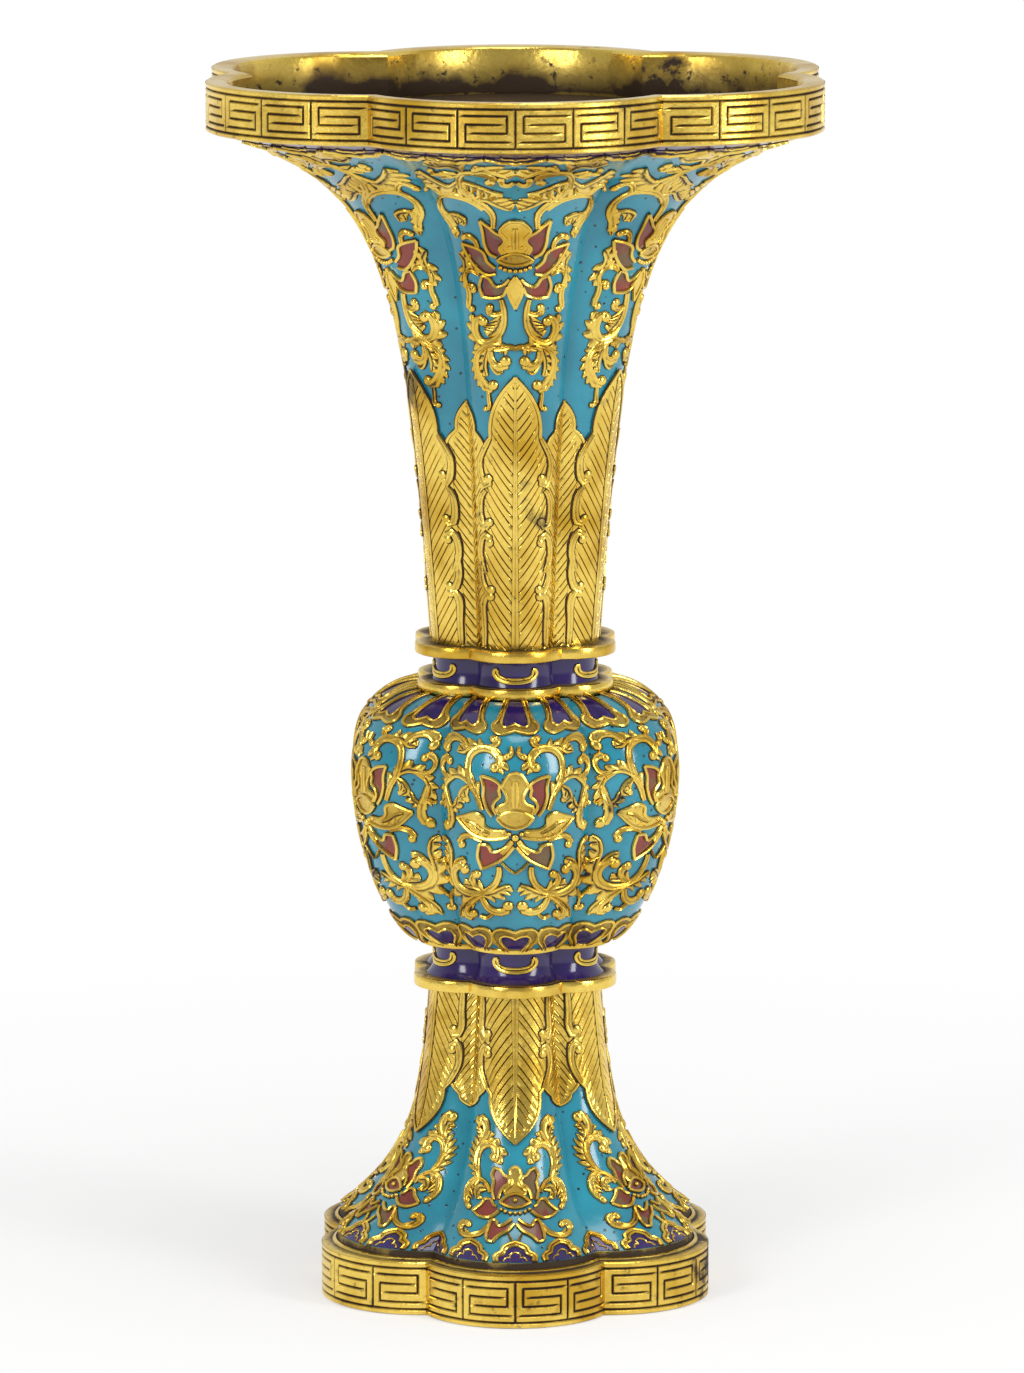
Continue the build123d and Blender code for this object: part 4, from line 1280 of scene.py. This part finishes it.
for name, bottom, top in (("upper", 153.6, 156.9), ("lower", 81.9, 85.4)):
    plot = crescent(collars[name], bottom, top, 5.4)
    ring_piece(name + "_crescents", plot, gilt, [])

# %% [markdown]
# ## Studio
# The photograph has a white ground, a soft shadow and broad highlights, as from large lamps with
# cloth in front. The floor fades to white away from the vase and keeps only its shadow. The world
# is white to the camera and dimmer to the gloss: gold that mirrors pure white looks flat.

# %% Floor
CAMERA_RAY, GLOSSY_RAY, CLEAR_RAY = 0, 3, 6  # outputs of the Light Path node
FLOOR_HALF, FLOOR_LEVEL = 6e3, -0.05


def light_path(graph, ray):
    return graph.node("ShaderNodeLightPath", output=ray)


floor_plot = Plot()
floor_plot.add([(x * FLOOR_HALF, y * FLOOR_HALF, FLOOR_LEVEL)
                for x, y in ((-1, -1), (1, -1), (1, 1), (-1, 1))], [[0, 1, 2, 3]])
floor_material, g = new_material("pale_floor")
camera_ray, glossy_ray, clear_ray = (
    light_path(g, ray) for ray in (CAMERA_RAY, GLOSSY_RAY, CLEAR_RAY))
seen = camera_ray.maths("MAXIMUM", glossy_ray.maths("MAXIMUM", clear_ray))
plain = g.node("ShaderNodeBsdfDiffuse", None, {"Color": (0.92, 0.92, 0.92, 1)})
white = g.node("ShaderNodeEmission", None, {"Color": (1, 1, 1, 1), "Strength": 1.0})
ground = g.node("ShaderNodeTexCoord", output=3)
far = g.node("ShaderNodeVectorMath", {"operation": "LENGTH"}, [ground], 1)
away = g.node("ShaderNodeMapRange", None, {"Value": far, "From Min": 0.06, "From Max": 0.40})
mixed = g.node("ShaderNodeMixShader", None, [seen * (away * 0.5 + 0.5), plain, white])
g.node("ShaderNodeOutputMaterial", None, {"Surface": mixed})
floor = bpy.data.objects.new("pale_floor", floor_plot.mesh("pale_floor"))
floor.data.materials.append(floor_material)
bpy.context.scene.collection.objects.link(floor)
print("floor", floor.name)

# %% World
world = bpy.data.worlds.new("studio")
world.use_nodes = True
world.node_tree.nodes.clear()
g = Graph(world.node_tree)
direction = g.node("ShaderNodeTexCoord")
depth = g.node("ShaderNodeSeparateXYZ", None, [direction], 1)
dim = g.node("ShaderNodeMapRange", None, {"Value": depth, "From Min": -0.55, "From Max": 0.45,
                                          "To Min": 0.32, "To Max": 0.72})
gloss = light_path(g, GLOSSY_RAY)
plainly = light_path(g, CAMERA_RAY).maths("MAXIMUM", light_path(g, CLEAR_RAY))
strength = gloss * dim + plainly + (1 - gloss.maths("MAXIMUM", plainly)) * 0.5
background = g.node("ShaderNodeBackground", None, {"Color": (1, 1, 1, 1), "Strength": strength})
g.node("ShaderNodeOutputWorld", None, {"Surface": background})
bpy.context.scene.world = world
print("world", world.name)

# %% [markdown]
# ## Lamps and camera
# Tall lamps at both sides and one above give the long highlights on the lobes. The camera stands
# well back with a long lens and looks a little down into the mouth. Its place and lens could be
# guessed, but here they were fitted, so that the model's outline falls on the photograph's.

# %% Lamps
VASE_MIDDLE = Vector((0, 0, 0.15))


def area_lamp(name, place, width, height, power):
    """Soft lamp that points at the middle of the vase."""
    data = bpy.data.lights.new(name, "AREA")
    data.shape, data.size, data.size_y, data.energy = "RECTANGLE", width, height, power
    lamp = bpy.data.objects.new(name, data)
    lamp.location = place
    lamp.rotation_euler = (VASE_MIDDLE - Vector(place)).to_track_quat("-Z", "Y").to_euler()
    bpy.context.scene.collection.objects.link(lamp)
    print("lamp", name, power, "W")


area_lamp("left_softbox", (-1.0, -1.3, 0.9), 0.45, 1.0, 13)
area_lamp("right_softbox", (1.25, -0.9, 0.7), 0.35, 1.1, 12)
area_lamp("top_softbox", (0.15, -0.35, 1.7), 0.8, 0.8, 8)

# %% Camera
CAMERA_PLACE, LOOKING_DOWN = (-0.00078, -1.8775, 0.4701), 9.70
LENS, SENSOR_WIDTH = 203.5, 36

camera_data = bpy.data.cameras.new("photo_view")
camera_data.lens, camera_data.sensor_width = LENS, SENSOR_WIDTH
camera = bpy.data.objects.new("photo_view", camera_data)
camera.location = CAMERA_PLACE
camera.rotation_euler = (radians(90 - LOOKING_DOWN), 0, 0)
bpy.context.scene.collection.objects.link(camera)
bpy.context.scene.camera = camera
bpy.context.scene.view_settings.view_transform = "Standard"
print("camera", camera.name, "with a lens of", camera_data.lens, "mm")
